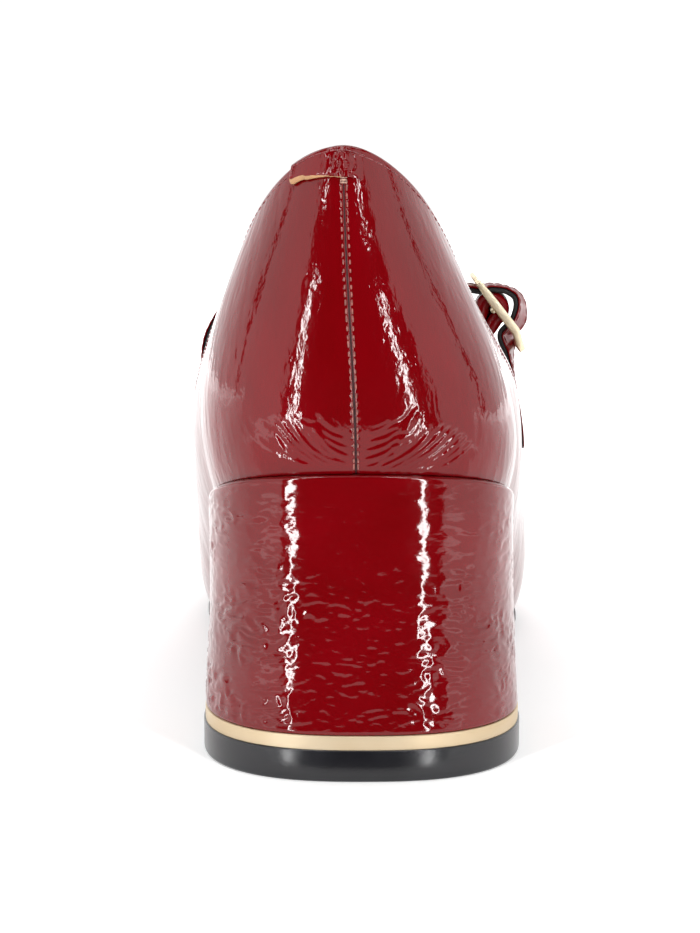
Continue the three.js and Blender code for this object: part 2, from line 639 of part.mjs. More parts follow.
function buckleStrap() {
  const inner = WALL + SEWN_CLEAR + CHAPE_THICK / 2;
  const rows = [
    { at: atBuckle(loopHole / 2, -loopHole - LOOP_WALL / 2), across: FORWARD },
    ...CHAPE_PATH.map((row) => ({
      at: atBuckle((row.along * BUCKLE_LENGTH) / 2, -row.under * BUCKLE_RISE),
      across: FORWARD,
    })),
    onWall(strapTurn.lateral, 0, inner + RIM_CLEAR),
    onWall(strapTurn.lateral, STRAP_SEWN / 2, inner),
    onWall(strapTurn.lateral, STRAP_SEWN, inner),
  ];
  const strip = asSolid(band(rows, { width: STRAP_WIDTH, thick: CHAPE_THICK }));
  const shape = new THREE.Shape().absarc(0, 0, loopRadius, 0, 2 * Math.PI);
  shape.holes.push(new THREE.Path().absarc(0, 0, loopHole, 0, 2 * Math.PI));
  const loop = new THREE.ExtrudeGeometry(shape, { depth: STRAP_WIDTH, bevelEnabled: false, curveSegments: 12 });
  loop.rotateX(Math.PI / 2).translate(0, STRAP_WIDTH / 2, 0);
  const clear = (radius, width) => {
    const tool = new THREE.CylinderGeometry(radius, radius, width, 24);
    return asSolid(placed(tool));
  };
  const slot = clear(loopRadius + GAP, PRONG + 2 * GAP);
  const bore = clear(loopHole, 2 * STRAP_WIDTH);
  return asGeometry(strip.subtract(bore).add(asSolid(placed(loop))).subtract(slot));
}

// Back tab: a skin over the top of the back seam, thinning out on the lateral side

function backTab() {
  const rings = Array.from({ length: TAB_STEPS + 1 }, (_, i) => {
    const share = i / TAB_STEPS;
    const turn = THREE.MathUtils.lerp(-TAB_MEDIAL, TAB_LATERAL, share);
    const rounding = Math.sqrt(1 - Math.max(0, 1 - share / TAB_ROUND) ** 2);
    const full = THREE.MathUtils.lerp(TAB_END, 1, Math.min(1, share / TAB_FULL));
    const height = TAB_HEIGHT * (full - TAB_CORNER * (1 - rounding));
    const skive = Math.min(1, (1 - share) / TAB_SKIVED);
    const thick = TAB_THICK * THREE.MathUtils.lerp(TAB_THIN, 1, skive);
    const rows = [0, 1 / 3, 2 / 3, 1].map((row) => THREE.MathUtils.lerp(underTop(turn, height), 1, row));
    return [
      ...rows.map((t) => inUpper(turn, t, -GAP - thick)),
      ...rows.toReversed().map((t) => inUpper(turn, t, -GAP)),
    ];
  });
  return ringSolid(rings);
}

// Assembly

const FINISHES = {
  patent: { color: 0x7a0a18, roughness: 0.12, metalness: 0 },
  lining: { color: 0xc49a6c, roughness: 0.6, metalness: 0 },
  rubber: { color: 0x151515, roughness: 0.5, metalness: 0 },
  gold: { color: 0xe0bd7a, roughness: 0.2, metalness: 1 },
};

const shoe = new THREE.Group();
function add(name, geometry, finish) {
  const mesh = new THREE.Mesh(geometry, new THREE.MeshStandardMaterial(FINISHES[finish]));
  mesh.name = name;
  shoe.add(mesh);
}

add("upper", upper(), "patent");
add("outsole", outsole(), "rubber");
add("insole", insole(), "lining");
add("heel_block", heelBlock(), "patent");
add("heel_band", heelPlate(TOP_PIECE, BAND, BAND_INSET), "gold");
add("top_piece", heelPlate(0, TOP_PIECE, 0), "rubber");
add("instep_strap", instepStrap(), "patent");
add("buckle_strap", buckleStrap(), "patent");
add("buckle_frame", buckleFrame(), "gold");
add("buckle_prong", buckleProng(), "gold");
add("back_tab", backTab(), "patent");

export default shoe;
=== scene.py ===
import math
from collections import namedtuple

import bpy
import numpy as np
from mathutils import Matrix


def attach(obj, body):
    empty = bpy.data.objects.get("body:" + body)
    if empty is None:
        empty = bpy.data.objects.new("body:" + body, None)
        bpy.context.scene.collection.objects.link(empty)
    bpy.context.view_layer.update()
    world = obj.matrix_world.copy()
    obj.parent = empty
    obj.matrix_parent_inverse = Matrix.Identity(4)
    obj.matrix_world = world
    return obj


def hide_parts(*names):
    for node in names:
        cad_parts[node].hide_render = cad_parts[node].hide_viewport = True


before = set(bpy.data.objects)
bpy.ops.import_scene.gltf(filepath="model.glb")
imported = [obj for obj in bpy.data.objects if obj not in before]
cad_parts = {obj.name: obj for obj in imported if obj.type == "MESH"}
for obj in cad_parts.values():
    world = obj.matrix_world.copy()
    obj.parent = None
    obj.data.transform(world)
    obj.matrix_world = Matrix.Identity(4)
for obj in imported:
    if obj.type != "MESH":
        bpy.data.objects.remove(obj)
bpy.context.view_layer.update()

# Upper leather: two quarters sewn together up the back and joined to a vamp, cut from crinkled
# patent leather about 1.2 mm thick. It is pulled over the last, cemented under the insole board,
# and folded in round the top line.

MM = 0.001
LENGTH = 229
BALL_WIDTH = 75
SEAT_HEIGHT = 57.5
BACK_HEIGHT = 59.9
THROAT_HEIGHT = 39
TOE_SPRING = 8
TOE_CURVE = 2.2
FLAT_FROM = 143
FLAT_TO = 168
WALL = 2
GAP = 0.3
SOLE = 3
HEEL_BACK = 24
LEATHER = 1.1
ROLL = 0.95  # radius of the folded top line
LATERAL, MEDIAL = 1, -1

Level = namedtuple("Level", "along rise")
BOTTOM_LINE = [
    Level(0, 1),
    Level(0.21, 0.855),
    Level(0.4, 0.705),
    Level(0.59, 0.46),
    Level(0.785, 0.165),
    Level(1, 0),
]

# Ribs of the last from the back to the toe; lengths are shares of LENGTH, BALL_WIDTH and the rib's height.
Station = namedtuple(
    "Station", "along medial lateral swell lift reach crown drop top_along top_medial top_lateral top"
)
STATIONS = [
    Station(0, 0.016, -0.016, 0.1, 0.3, 0, 0.11, 0.36, 0.037, 0.047, -0.047, 1),
    Station(0.032, 0.288, 0.284, 0.085, 0.31, 0, 0.11, 0.36, 0.072, 0.223, 0.132, 0.9),
    Station(0.131, 0.382, 0.38, 0.067, 0.34, 0, 0.107, 0.38, 0.149, 0.313, 0.233, 0.735),
    Station(0.249, 0.369, 0.376, 0.067, 0.35, 0, 0.053, 0.35, 0.249, 0.399, 0.337, 0.547),
    Station(0.371, 0.347, 0.365, 0.12, 0.29, 0, 0.033, 0.31, 0.367, 0.472, 0.445, 0.356),
    Station(0.489, 0.395, 0.42, 0.1, 0.28, 0, 0.04, 0.28, 0.485, 0.493, 0.455, 0.217),
    Station(0.611, 0.475, 0.501, 0.075, 0.24, 0.4, 0.07, 0.22, 0.59, 0.45, 0.435, 0.121),
    Station(0.729, 0.495, 0.482, 0.063, 0.28, 0.55, 0.07, 0.17, 0.664, 0.357, 0.35, 0.061),
    Station(0.838, 0.445, 0.4, 0.06, 0.32, 0.6, 0.06, 0.17, 0.712, 0.243, 0.237, 0.026),
    Station(0.94, 0.308, 0.244, 0.055, 0.38, 0.6, 0.04, 0.25, 0.74, 0.125, 0.12, 0.006),
    Station(1, 0.045, -0.045, 0.05, 0.44, 0.58, 0, 0.29, 0.749, 0.007, -0.007, 0),
]


def closed_curve(rows):
    """A smooth closed curve through rows of numbers; its parameter runs from 0 to 1."""
    count = len(rows)
    beside = np.roll(np.eye(count), 1, axis=0) + np.roll(np.eye(count), -1, axis=0)
    control = np.linalg.solve((4 * np.eye(count) + beside) / 6, np.array(rows, dtype=float))

    def at(turn):
        place = np.asarray(turn, dtype=float) * count
        cell = np.floor(place).astype(int)
        f = (place - cell)[..., None]
        weights = ((1 - f) ** 3, 3 * f**3 - 6 * f**2 + 4, -3 * f**3 + 3 * f**2 + 3 * f + 1, f**3)
        return sum(w * control[(cell - 1 + k) % count] for k, w in enumerate(weights)) / 6

    return at


def level_ended(x, y):
    """A cubic spline of y over x that starts straight and ends level."""
    x, y = np.array(x, dtype=float), np.array(y, dtype=float)
    last = len(x) - 1
    step = np.diff(x)
    slope = np.diff(y) / step
    grid = np.eye(last + 1)
    right = np.zeros(last + 1)
    for i in range(1, last):
        grid[i, i - 1:i + 2] = step[i - 1], 2 * (step[i - 1] + step[i]), step[i]
        right[i] = 6 * (slope[i] - slope[i - 1])
    grid[last, last - 1:] = step[-1], 2 * step[-1]
    right[last] = -6 * slope[-1]
    bend = np.linalg.solve(grid, right)

    def at(v):
        i = np.clip(np.searchsorted(x, v, side="right") - 1, 0, last - 1)
        a, b, h = x[i + 1] - v, v - x[i], step[i]
        curved = (bend[i] * a**3 + bend[i + 1] * b**3) / (6 * h)
        return curved + (y[i] / h - bend[i] * h / 6) * a + (y[i + 1] / h - bend[i + 1] * h / 6) * b

    return at


arch = level_ended([row.along * FLAT_FROM for row in BOTTOM_LINE], [row.rise for row in BOTTOM_LINE])


def bottom_line(s):
    """Height of the line that the upper stands on, at distance s from the back."""
    s = np.asarray(s, dtype=float)
    toe = np.clip((s - FLAT_TO) / (LENGTH - FLAT_TO), 0, None)
    return np.where(s < FLAT_FROM, SOLE + (SEAT_HEIGHT - SOLE) * arch(s), SOLE + TOE_SPRING * toe**TOE_CURVE)


def unit(v):
    """Vectors at the length of one."""
    return v / np.linalg.norm(v, axis=-1, keepdims=True)


def last_curves():
    """The bottom edge, the top line and the two handles of the ribs, each a closed curve."""
    ribs = [(row, -1, row.lateral, row.top_lateral) for row in STATIONS[:-1]]
    ribs += [(row, 1, row.medial, row.top_medial) for row in reversed(STATIONS[1:])]
    rise = SEAT_HEIGHT + BACK_HEIGHT - THROAT_HEIGHT
    foot = np.array([(side * out * BALL_WIDTH, row.along * LENGTH) for row, side, out, _ in ribs])
    head = np.array([
        (side * out * BALL_WIDTH, row.top_along * LENGTH, THROAT_HEIGHT + row.top * rise)
        for row, side, _, out in ribs
    ])
    chord = np.roll(foot, 1, axis=0) - np.roll(foot, -1, axis=0)
    out = unit(np.column_stack([chord[:, 1], -chord[:, 0]]))
    height = head[:, 2] - bottom_line(foot[:, 1])
    low, high = [], []
    for (row, *_), n, f, h, tall in zip(ribs, out, foot, head, height):
        low.append((*(n * row.swell * BALL_WIDTH), row.lift * tall))
        high.append((*(row.reach * (f - h[:2]) + n * row.crown * BALL_WIDTH), -row.drop * tall))
    return [closed_curve(rows) for rows in (foot, head, low, high)]


bottom_edge, top_line, low_handle, high_handle = last_curves()


def outside(turn, t):
    """The upper's outside: turn runs round the last from 0 to 1, t up the rib from 0 to 1."""
    turn, t = np.broadcast_arrays(np.asarray(turn, dtype=float), np.asarray(t, dtype=float))
    plan = bottom_edge(turn)
    foot = np.concatenate([plan, (bottom_line(plan[..., 1]) + GAP)[..., None]], axis=-1)
    head = top_line(turn)
    low, high = low_handle(turn) + foot, high_handle(turn) + head
    t = t[..., None]
    return foot * (1 - t) ** 3 + 3 * low * t * (1 - t) ** 2 + 3 * high * t**2 * (1 - t) + head * t**3


def directions(turn, t):
    """Unit vectors at a place of the upper: forward round the last, up the rib and out of the leather."""
    step = 0.004
    ahead = outside(turn + step, t) - outside(turn - step, t)
    up = outside(turn, np.minimum(1, t + step)) - outside(turn, np.maximum(0, t - step))
    return unit(ahead), unit(up), unit(np.cross(up, ahead))


def noise(x, y, seed):
    """Smooth seeded noise between -1 and 1, one cell to a unit."""
    cells = 128
    table = np.random.default_rng(seed).uniform(-1, 1, (cells, cells))
    column, row = np.floor(x).astype(int), np.floor(y).astype(int)
    fx, fy = x - column, y - row
    fx, fy = fx * fx * (3 - 2 * fx), fy * fy * (3 - 2 * fy)

    def at(i, j):
        return table[(column + i) % cells, (row + j) % cells]

    low = at(0, 0) * (1 - fx) + at(1, 0) * fx
    high = at(0, 1) * (1 - fx) + at(1, 1) * fx
    return low * (1 - fy) + high * fy


def smooth(low, high, v):
    """0 below low, 1 above high, and a soft step between."""
    share = np.clip((v - low) / (high - low), 0, 1)
    return share * share * (3 - 2 * share)


def to_blender(points):
    """Shoe millimetres (x, s, z) to metres in the frame."""
    return np.stack([points[..., 0], HEEL_BACK - points[..., 1], points[..., 2]], axis=-1) * MM


def piece_of(name, corners, faces):
    """A new object whose mesh has these corners and faces."""
    mesh = bpy.data.meshes.new(name)
    mesh.from_pydata(corners, [], faces)
    piece = bpy.data.objects.new(name, mesh)
    bpy.context.scene.collection.objects.link(piece)
    return piece


def grid_mesh(name, points, uv=None, closed=True):
    """A smooth mesh over points[column, row]. Rows close round the section, and columns run round
    the shoe when closed; otherwise the first and last columns are capped."""
    columns, rows = points.shape[:2]
    number = np.arange(columns * rows).reshape(columns, rows)
    beside = np.roll(number, -1, axis=0) if closed else number[1:]
    here = number if closed else number[:-1]
    above_here, above_beside = np.roll(here, -1, axis=1), np.roll(beside, -1, axis=1)
    faces = np.stack([here, beside, above_beside, above_here], axis=-1).reshape(-1, 4).tolist()
    if not closed:
        faces += [number[0].tolist(), number[-1][::-1].tolist()]
    piece = piece_of(name, to_blender(points).reshape(-1, 3).tolist(), faces)
    mesh = piece.data
    if uv is not None:
        layer = mesh.uv_layers.new(name="skin")
        loops = np.empty(len(mesh.loops), dtype=np.int32)
        mesh.loops.foreach_get("vertex_index", loops)
        layer.data.foreach_set("uv", (uv.reshape(-1, 2)[loops] * MM).ravel())
    mesh.polygons.foreach_set("use_smooth", [True] * len(mesh.polygons))
    if signed_volume(mesh) < 0:
        mesh.flip_normals()
    return piece


def signed_volume(mesh):
    """Six times the volume, negative where the faces look inwards."""
    mesh.calc_loop_triangles()
    corners = np.empty(len(mesh.vertices) * 3)
    mesh.vertices.foreach_get("co", corners)
    corners = corners.reshape(-1, 3)
    thirds = np.empty(len(mesh.loop_triangles) * 3, dtype=np.int32)
    mesh.loop_triangles.foreach_get("vertices", thirds)
    a, b, c = (corners[thirds.reshape(-1, 3)[:, k]] for k in range(3))
    return float((a * np.cross(b, c)).sum())


def node(material, kind, inputs=None, **settings):
    """A shader node; an input is a socket to link, or a value for that input of this node."""
    made = material.node_tree.nodes.new(kind)
    for key, value in settings.items():
        setattr(made, key, value)
    for key, value in (inputs or {}).items():
        if isinstance(value, bpy.types.NodeSocket):
            material.node_tree.links.new(value, made.inputs[key])
        else:
            made.inputs[key].default_value = value
    return made


def finish_of(name, **sockets):
    """A material whose shader's own sockets are set, and that shader."""
    material = bpy.data.materials.new(name)
    material.use_nodes = True
    shader = material.node_tree.nodes["Principled BSDF"]
    for key, value in sockets.items():
        shader.inputs[key.replace("_", " ")].default_value = value
    return material, shader


def joined(material, shader, **outputs):
    """Links sockets to the shader's inputs of those names."""
    for key, socket in outputs.items():
        material.node_tree.links.new(socket, shader.inputs[key.replace("_", " ")])
    return material


def skin_place(material):
    return node(material, "ShaderNodeUVMap", uv_map="skin").outputs["UV"]


def stretched(material, place, scale):
    """Coordinates whose marks grow longer where the scale is small."""
    return node(material, "ShaderNodeMapping", {"Vector": place, "Scale": scale}).outputs["Vector"]


def mottled(material, coordinates, scale, dark, light):
    """A colour that drifts softly between two tones."""
    clouds = node(material, "ShaderNodeTexNoise", {"Vector": coordinates, "Scale": scale, "Detail": 3.0})
    ramp = node(material, "ShaderNodeValToRGB", {"Fac": clouds.outputs["Fac"]})
    ramp.color_ramp.elements[0].position = 0.35
    ramp.color_ramp.elements[1].position = 0.65
    ramp.color_ramp.elements[0].color = dark
    ramp.color_ramp.elements[1].color = light
    return ramp.outputs["Color"]


def bumped(material, height, depth, normal=None):
    """A bump that is `depth` metres high, over a bump that is already there."""
    under = {} if normal is None else {"Normal": normal}
    bump = node(material, "ShaderNodeBump", {"Height": height, "Distance": depth, "Strength": 1.0, **under})
    return bump.outputs["Normal"]


def relief(material, coordinates, scale, depth, normal=None, **settings):
    """A bump of noise, over a bump that is already there."""
    inputs = {"Vector": coordinates, "Scale": scale, **settings}
    return bumped(material, node(material, "ShaderNodeTexNoise", inputs).outputs["Fac"], depth, normal)


def ranged(material, value, start, stop, first, last):
    """A value that goes from first to last while another goes from start to stop."""
    return node(material, "ShaderNodeMapRange", {
        "Value": value, "From Min": start, "From Max": stop, "To Min": first, "To Max": last,
    }).outputs["Result"]


PATENT_GLOSS = 0.07
PATENT_DARK = (0.125, 0.0, 0.001, 1)
PATENT_LIGHT = (0.155, 0.0, 0.002, 1)


def patent(name, across=1.0, along=1.0, crinkle=0.00004, gloss=PATENT_GLOSS, mirror=0.5):
    """Dark red patent leather: a clear gloss film over leather that crinkles in fine lines."""
    material, shader = finish_of(name, Roughness=gloss, IOR=1.5, Specular_IOR_Level=mirror)
    place = stretched(material, skin_place(material), (across, along, 1))
    tone = mottled(material, place, 60.0, PATENT_DARK, PATENT_LIGHT)
    fine = relief(material, place, 900.0, crinkle, Detail=2.0, Distortion=0.6)
    broad = relief(material, place, 300.0, crinkle * 2, fine, Detail=1.0, Distortion=1.0)
    return joined(material, shader, Base_Color=tone, Normal=broad)


# Creases beside the back seam just over the heel seat, as soft troughs with a ridge below each.
# out and up place one end, in mm from the seam and from the bottom edge; it runs out and up.
STITCH = 1.5
Crease = namedtuple("Crease", "out up length slope bow deep wide")
CREASES = {
    MEDIAL: (
        Crease(1.2, 2.4, 8, 44, 1.0, 0.16, 0.34),
        Crease(0.9, 4.0, 9, 46, 1.2, 0.2, 0.36),
        Crease(1.4, 5.8, 8, 45, 1.2, 0.2, 0.36),
        Crease(2.0, 7.6, 7, 42, 1.0, 0.16, 0.34),
        Crease(3.0, 2.6, 10, 43, 1.0, 0.22, 0.36),
        Crease(4.4, 2.2, 12, 44, 1.0, 0.22, 0.38),
        Crease(5.8, 1.8, 13, 45, 0.8, 0.24, 0.38),
        Crease(7.1, 1.6, 13, 46, 0.8, 0.22, 0.4),
        Crease(8.6, 1.8, 12, 47, 0.6, 0.24, 0.4),
        Crease(10.0, 2.2, 12, 48, 0.6, 0.2, 0.42),
        Crease(11.6, 2.6, 11, 50, 0.6, 0.2, 0.42),
        Crease(13.4, 3.2, 10, 52, 0.4, 0.18, 0.44),
        Crease(15.2, 4.0, 9, 54, 0.4, 0.15, 0.44),
        Crease(17.0, 5.0, 8, 56, 0.4, 0.13, 0.46),
    ),
    LATERAL: (
        Crease(1.0, 1.8, 8, 34, 1.0, 0.16, 0.34),
        Crease(1.0, 3.4, 10, 36, 1.2, 0.2, 0.36),
        Crease(1.6, 5.2, 10, 36, 1.2, 0.2, 0.36),
        Crease(2.6, 7.0, 9, 35, 1.0, 0.16, 0.36),
        Crease(3.4, 1.6, 12, 37, 1.0, 0.22, 0.36),
        Crease(4.8, 1.0, 14, 38, 1.0, 0.24, 0.38),
        Crease(6.4, 0.9, 14, 38, 0.8, 0.24, 0.38),
        Crease(8.0, 0.8, 14, 37, 0.8, 0.22, 0.4),
        Crease(9.8, 0.8, 13, 36, 0.6, 0.22, 0.42),
        Crease(11.8, 1.0, 12, 36, 0.6, 0.2, 0.42),
        Crease(14.0, 1.4, 10, 35, 0.6, 0.16, 0.44),
        Crease(5.4, 9.2, 7, 38, 0.6, 0.12, 0.4),
    ),
}
# pairs of a distance from the seam and the mesh's step there
ROUND_STEPS = ((0, 0.22), (2, 0.24), (5, 0.36), (24, 0.38), (30, 0.5), (48, 0.55), (75, 1.8), (300, 1.8))
SEAT_ROWS = 52
SEAT_SHARE = 0.26
ROWS_UP = 152
RIB_STEPS = 400
ROLL_ROWS = 9
HEM = 4  # how far the fold runs down inside
FOLD_FADE = 1.2  # the relief fades over this distance under the fold
GIRTH_AT = 0.4  # share of the ribs' height where distances from the seam are measured
CREASE_RIDGE = 1.8  # a crease's ridge lies this many widths below its trough


def lengths_along(points, axis):
    """Distances along a line, or along each line of a grid."""
    steps = np.linalg.norm(np.diff(points, axis=axis), axis=-1)
    start = np.zeros_like(np.take(steps, [0], axis=axis))
    return np.concatenate([start, np.cumsum(steps, axis=axis)], axis=axis)


def skin_of(around, up):
    """Surface coordinates from the distances in the two directions."""
    return np.stack(np.broadcast_arrays(around, up), axis=-1)


def girth(turns):
    """Distances from the seam at places that run evenly round the last and through the seam."""
    around = lengths_along(outside(turns, GIRTH_AT), 0)
    return around - around[len(turns) // 2]


def rib_lengths(turns, count):
    """Shares up the ribs, and how far from the bottom edge each rib is there."""
    rows = np.linspace(0, 1, count)
    return rows, lengths_along(outside(turns[:, None], rows[None, :]), 1)


def shares_at(wanted, up, rows):
    """The shares up the ribs where the wanted distances are reached."""
    return np.array([np.interp(w, u, rows) for w, u in zip(wanted, up)])


def spaced_turns():
    """Places round the last: close together near the back seam, wider apart towards the toe."""
    turns = np.linspace(-0.5, 0.5, 4001)
    around = girth(turns)
    step = np.interp(np.abs(around), *zip(*ROUND_STEPS))
    count = np.concatenate([[0], np.cumsum(np.diff(around) / step[1:])])
    picked = np.interp(np.linspace(0, count[-1], int(count[-1]))[:-1], count, turns)
    return picked, np.interp(picked, turns, around)


def crease_depth(c, x, y):
    """One crease's depth at places given from its lower end, out from the seam and up."""
    slope = math.radians(c.slope)
    along = x * math.cos(slope) + y * math.sin(slope)
    share = np.clip(along / c.length, 0, 1)
    off = y * math.cos(slope) - x * math.sin(slope) + c.bow * np.sin(math.pi * share)
    fade = smooth(-0.1, 0.25, along / c.length) * (1 - smooth(0.7, 1.1, along / c.length))
    trough = np.exp(-((off / c.wide) ** 2))
    ridge = np.exp(-(((off + CREASE_RIDGE * c.wide) / c.wide) ** 2))
    return fade * c.deep * (0.55 * ridge - trough)


def crease_relief(around, up):
    """The creases' depth at places given by their distances from the seam and from the bottom edge."""
    total = np.zeros_like(around)
    for side, creases in CREASES.items():
        for c in creases:
            total += crease_depth(c, side * around - c.out, up - c.up)
    return total


def crinkle_relief(around, up):
    """The crinkle of the leather: fine diagonal wrinkles over the seat, and grain along the sides."""
    drift = 2.2 * noise(around / 5, up / 5, 3)
    tilt = np.abs(around) * 0.62 - up * 0.78 + drift
    long_way = np.abs(around) * 0.78 + up * 0.62
    wrinkles = np.abs(noise(tilt / 0.9, long_way / 5, 4))
    wrinkles += 0.7 * np.abs(noise(tilt / 0.5, long_way / 3, 9))
    near_seat = (1 - smooth(7, 15, up)) * smooth(1.5, 6, np.abs(around))
    near_seat = near_seat * (1 - smooth(10, 20, np.abs(around))) * smooth(0.8, 4, up)
    waves = noise(around / 4.5, up / 9, 5) + 0.5 * noise(around / 2, up / 5, 6)
    waves += 0.35 * noise(around / 1.6, up / 2.6, 10)
    grain = noise(around / 0.9 + 1.5 * noise(around / 3, up / 8, 7), up / 6, 8)
    side = smooth(16, 26, np.abs(around))
    return -0.1 * near_seat * wrinkles + 0.05 * waves * (0.35 + 0.65 * side) + 0.03 * grain * side


def stitch_line(up):
    """Distance of the back seam's stitches from its middle."""
    return 0.4 + 0.38 * smooth(8, 50, up)


def seam_relief(around, up):
    """The back seam: a narrow valley between two rows of stitches, each of which pulls in a dimple."""
    valley = -0.36 * np.exp(-((around / 0.2) ** 2))
    row = np.exp(-(((np.abs(around) - stitch_line(up)) / 0.3) ** 2))
    pulled = 0.5 + 0.5 * np.cos(2 * math.pi * up / STITCH)
    return valley - 0.22 * row * pulled


def upper_leather():
    """The leather's face with its relief, the folded top line, the hem and the plain inner face."""
    turns, around = spaced_turns()
    rows, up = rib_lengths(turns, RIB_STEPS)
    tall = up[:, -1:]
    seat_part = np.linspace(0, SEAT_SHARE, SEAT_ROWS, endpoint=False)
    share = np.concatenate([seat_part, np.linspace(SEAT_SHARE, 1, ROWS_UP - SEAT_ROWS)])
    wanted = share[None, :] * (tall - ROLL)
    t = shares_at(wanted, up, rows)
    places = outside(turns[:, None], t)
    _, rise, out = directions(turns[:, None], t)
    across = np.broadcast_to(around[:, None], t.shape)
    depth = crease_relief(across, wanted) + crinkle_relief(across, wanted) + seam_relief(across, wanted)
    depth *= smooth(0, FOLD_FADE, tall - ROLL - wanted)
    skin = places + out * depth[..., None]
    edge, edge_rise, edge_out = places[:, -1], rise[:, -1], out[:, -1]
    turned = []
    for angle in np.linspace(0, math.pi, ROLL_ROWS)[1:]:
        turned.append(edge + edge_rise * ROLL * math.sin(angle) - edge_out * ROLL * (1 - math.cos(angle)))
    inner = [
        edge - edge_rise * HEM - edge_out * 2 * ROLL,
        edge - edge_rise * (HEM + 0.2) - edge_out * LEATHER,
    ]
    for share_up in (0.85, 0.6, 0.35, 0.15, 0):
        row = int(share_up * (ROWS_UP - 1))
        inner.append(places[:, row] - out[:, row] * LEATHER)
    points = np.concatenate([skin, np.stack(turned + inner, axis=1)], axis=1)
    extra = points.shape[1] - ROWS_UP
    heights = np.concatenate([wanted, tall + np.arange(extra)[None, :] + 0 * around[:, None]], axis=1)
    return grid_mesh("upper_leather", points, skin_of(around[:, None], heights))


SEAM_GAP = 0.00012  # half its width, in metres
# painted shade: the near-black colour put into the back seam's narrow gap
SEAM_SHADE_TONE = (0.03, 0.001, 0.002, 1)
SEAM_DULL = 0.7


def paint_seam_gap_shade(material):
    """Paints shade into the narrow gap between the two turned-in edges as a near-black colour, and makes it
    dull.
    """
    shader = material.node_tree.nodes["Principled BSDF"]
    tone = shader.inputs["Base Color"].links[0].from_socket
    across = node(material, "ShaderNodeSeparateXYZ", {"Vector": skin_place(material)}).outputs["X"]
    distance = node(material, "ShaderNodeMath", {0: across}, operation="ABSOLUTE").outputs["Value"]
    beside = ranged(material, distance, SEAM_GAP, 2 * SEAM_GAP, 0, 1)
    colour = node(material, "ShaderNodeMix", {"Factor": beside, "A": SEAM_SHADE_TONE, "B": tone}, data_type="RGBA")
    dull = ranged(material, distance, SEAM_GAP, 2 * SEAM_GAP, SEAM_DULL, PATENT_GLOSS)
    return joined(material, shader, Base_Color=colour.outputs["Result"], Roughness=dull)


upper_piece = upper_leather()
upper_piece.data.materials.append(paint_seam_gap_shade(patent("upper_patent", 1.0, 0.55)))
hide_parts("upper")
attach(upper_piece, "root")

# Upper lining: smooth black lining leather under 1 mm thick, glued to the inside of the quarters
# and the vamp and stitched in just under the folded top line.

LINING_TURNS = 240
LINING_ROWS = 40
LINING_UNDER = 2.4  # its upper edge, under the top line


def lining_finish(name, tone):
    """Dull, finely grained leather of one tone."""
    material, shader = finish_of(name, Roughness=0.55, Specular_IOR_Level=0.35)
    place = skin_place(material)
    dark = tuple(0.7 * v for v in tone) + (1,)
    colour = mottled(material, place, 120.0, dark, tone + (1,))
    grain = relief(material, place, 1800.0, 0.00005, Detail=3.0)
    return joined(material, shader, Base_Color=colour, Normal=grain)


def upper_lining():
    turns = np.linspace(0, 1, LINING_TURNS, endpoint=False)
    rows, up = rib_lengths(turns, 200)
    wanted = np.linspace(0, 1, LINING_ROWS)[None, :] * (up[:, -1:] - LINING_UNDER)
    t = shares_at(wanted, up, rows)
    places = outside(turns[:, None], t)
    out = directions(turns[:, None], t)[2]
    points = np.concatenate([places - out * WALL, (places - out * (LEATHER + 0.05))[:, ::-1]], axis=1)
    around = lengths_along(outside(turns, GIRTH_AT), 0)
    heights = np.concatenate([wanted, wanted[:, ::-1]], axis=1)
    return grid_mesh("upper_lining", points, skin_of(around[:, None], heights))


LINING_TONE = (0.012, 0.011, 0.012)
black_lining = lining_finish("black_lining", LINING_TONE)
lining_piece = upper_lining()
lining_piece.data.materials.append(black_lining)
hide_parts("upper")
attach(lining_piece, "root")

# Seam and edge stitching: dark red polyester thread about 0.3 mm thick, in lockstitches of 1.5 mm.
# Two rows hold the back seam, close together at the seat, and one row holds the top line's fold.

THREAD = 0.2
STITCH_FILL = 0.88  # share of the pitch that a stitch shows
BEAD_RINGS = (0.06, 0.2, 0.5, 0.8, 0.94)  # shares of a stitch's length
BEAD_SIDES = 6
SEAM_FROM, SEAM_TO = 0.6, 55.5  # ends of the seam's stitches over the bottom edge
EDGE_REACH = 255  # half the length of the top line's stitches
EDGE_UNDER = 1.9


def at_distance(at, way, values):
    """Points or directions at distances along a way."""
    return np.stack([np.interp(at, way, values[:, k]) for k in range(3)], axis=-1)


def stitch_rings(path, out, pitch=STITCH, radius=THREAD, sunk=0.02, fill=STITCH_FILL, loose=0.0):
    """Rings of the small beads of thread along a path, each dipping into the leather at its ends."""
    way = lengths_along(path, 0)
    count = max(1, int(way[-1] / pitch))
    ring_angles = np.linspace(0, 2 * math.pi, BEAD_SIDES, endpoint=False)
    rings = []
    uneven = np.random.default_rng(51).uniform(1 - loose, 1 + loose, count)
    for i in range(count):
        for share in BEAD_RINGS:
            at = (i + 0.5 * uneven[i] + (share - 0.5) * fill * uneven[i] / STITCH_FILL) * way[-1] / count
            place = at_distance(at, way, path)
            ahead = at_distance(at + 0.05, way, path) - place
            normal = at_distance(at, way, out)
            ahead = unit(ahead) if np.linalg.norm(ahead) > 1e-9 else unit(path[-1] - path[-2])
            side = unit(np.cross(normal, ahead))
            normal = np.cross(ahead, side)
            swell = math.sin(math.pi * share) ** 0.5
            middle = place + normal * (radius * (1.4 * swell - 0.9) - sunk)
            thick = radius * (0.45 + 0.55 * swell)
            wheel = [math.cos(a) * side + math.sin(a) * normal for a in ring_angles]
            rings.append([middle + thick * spoke for spoke in wheel])
    return np.array(rings).reshape(-1, 3)


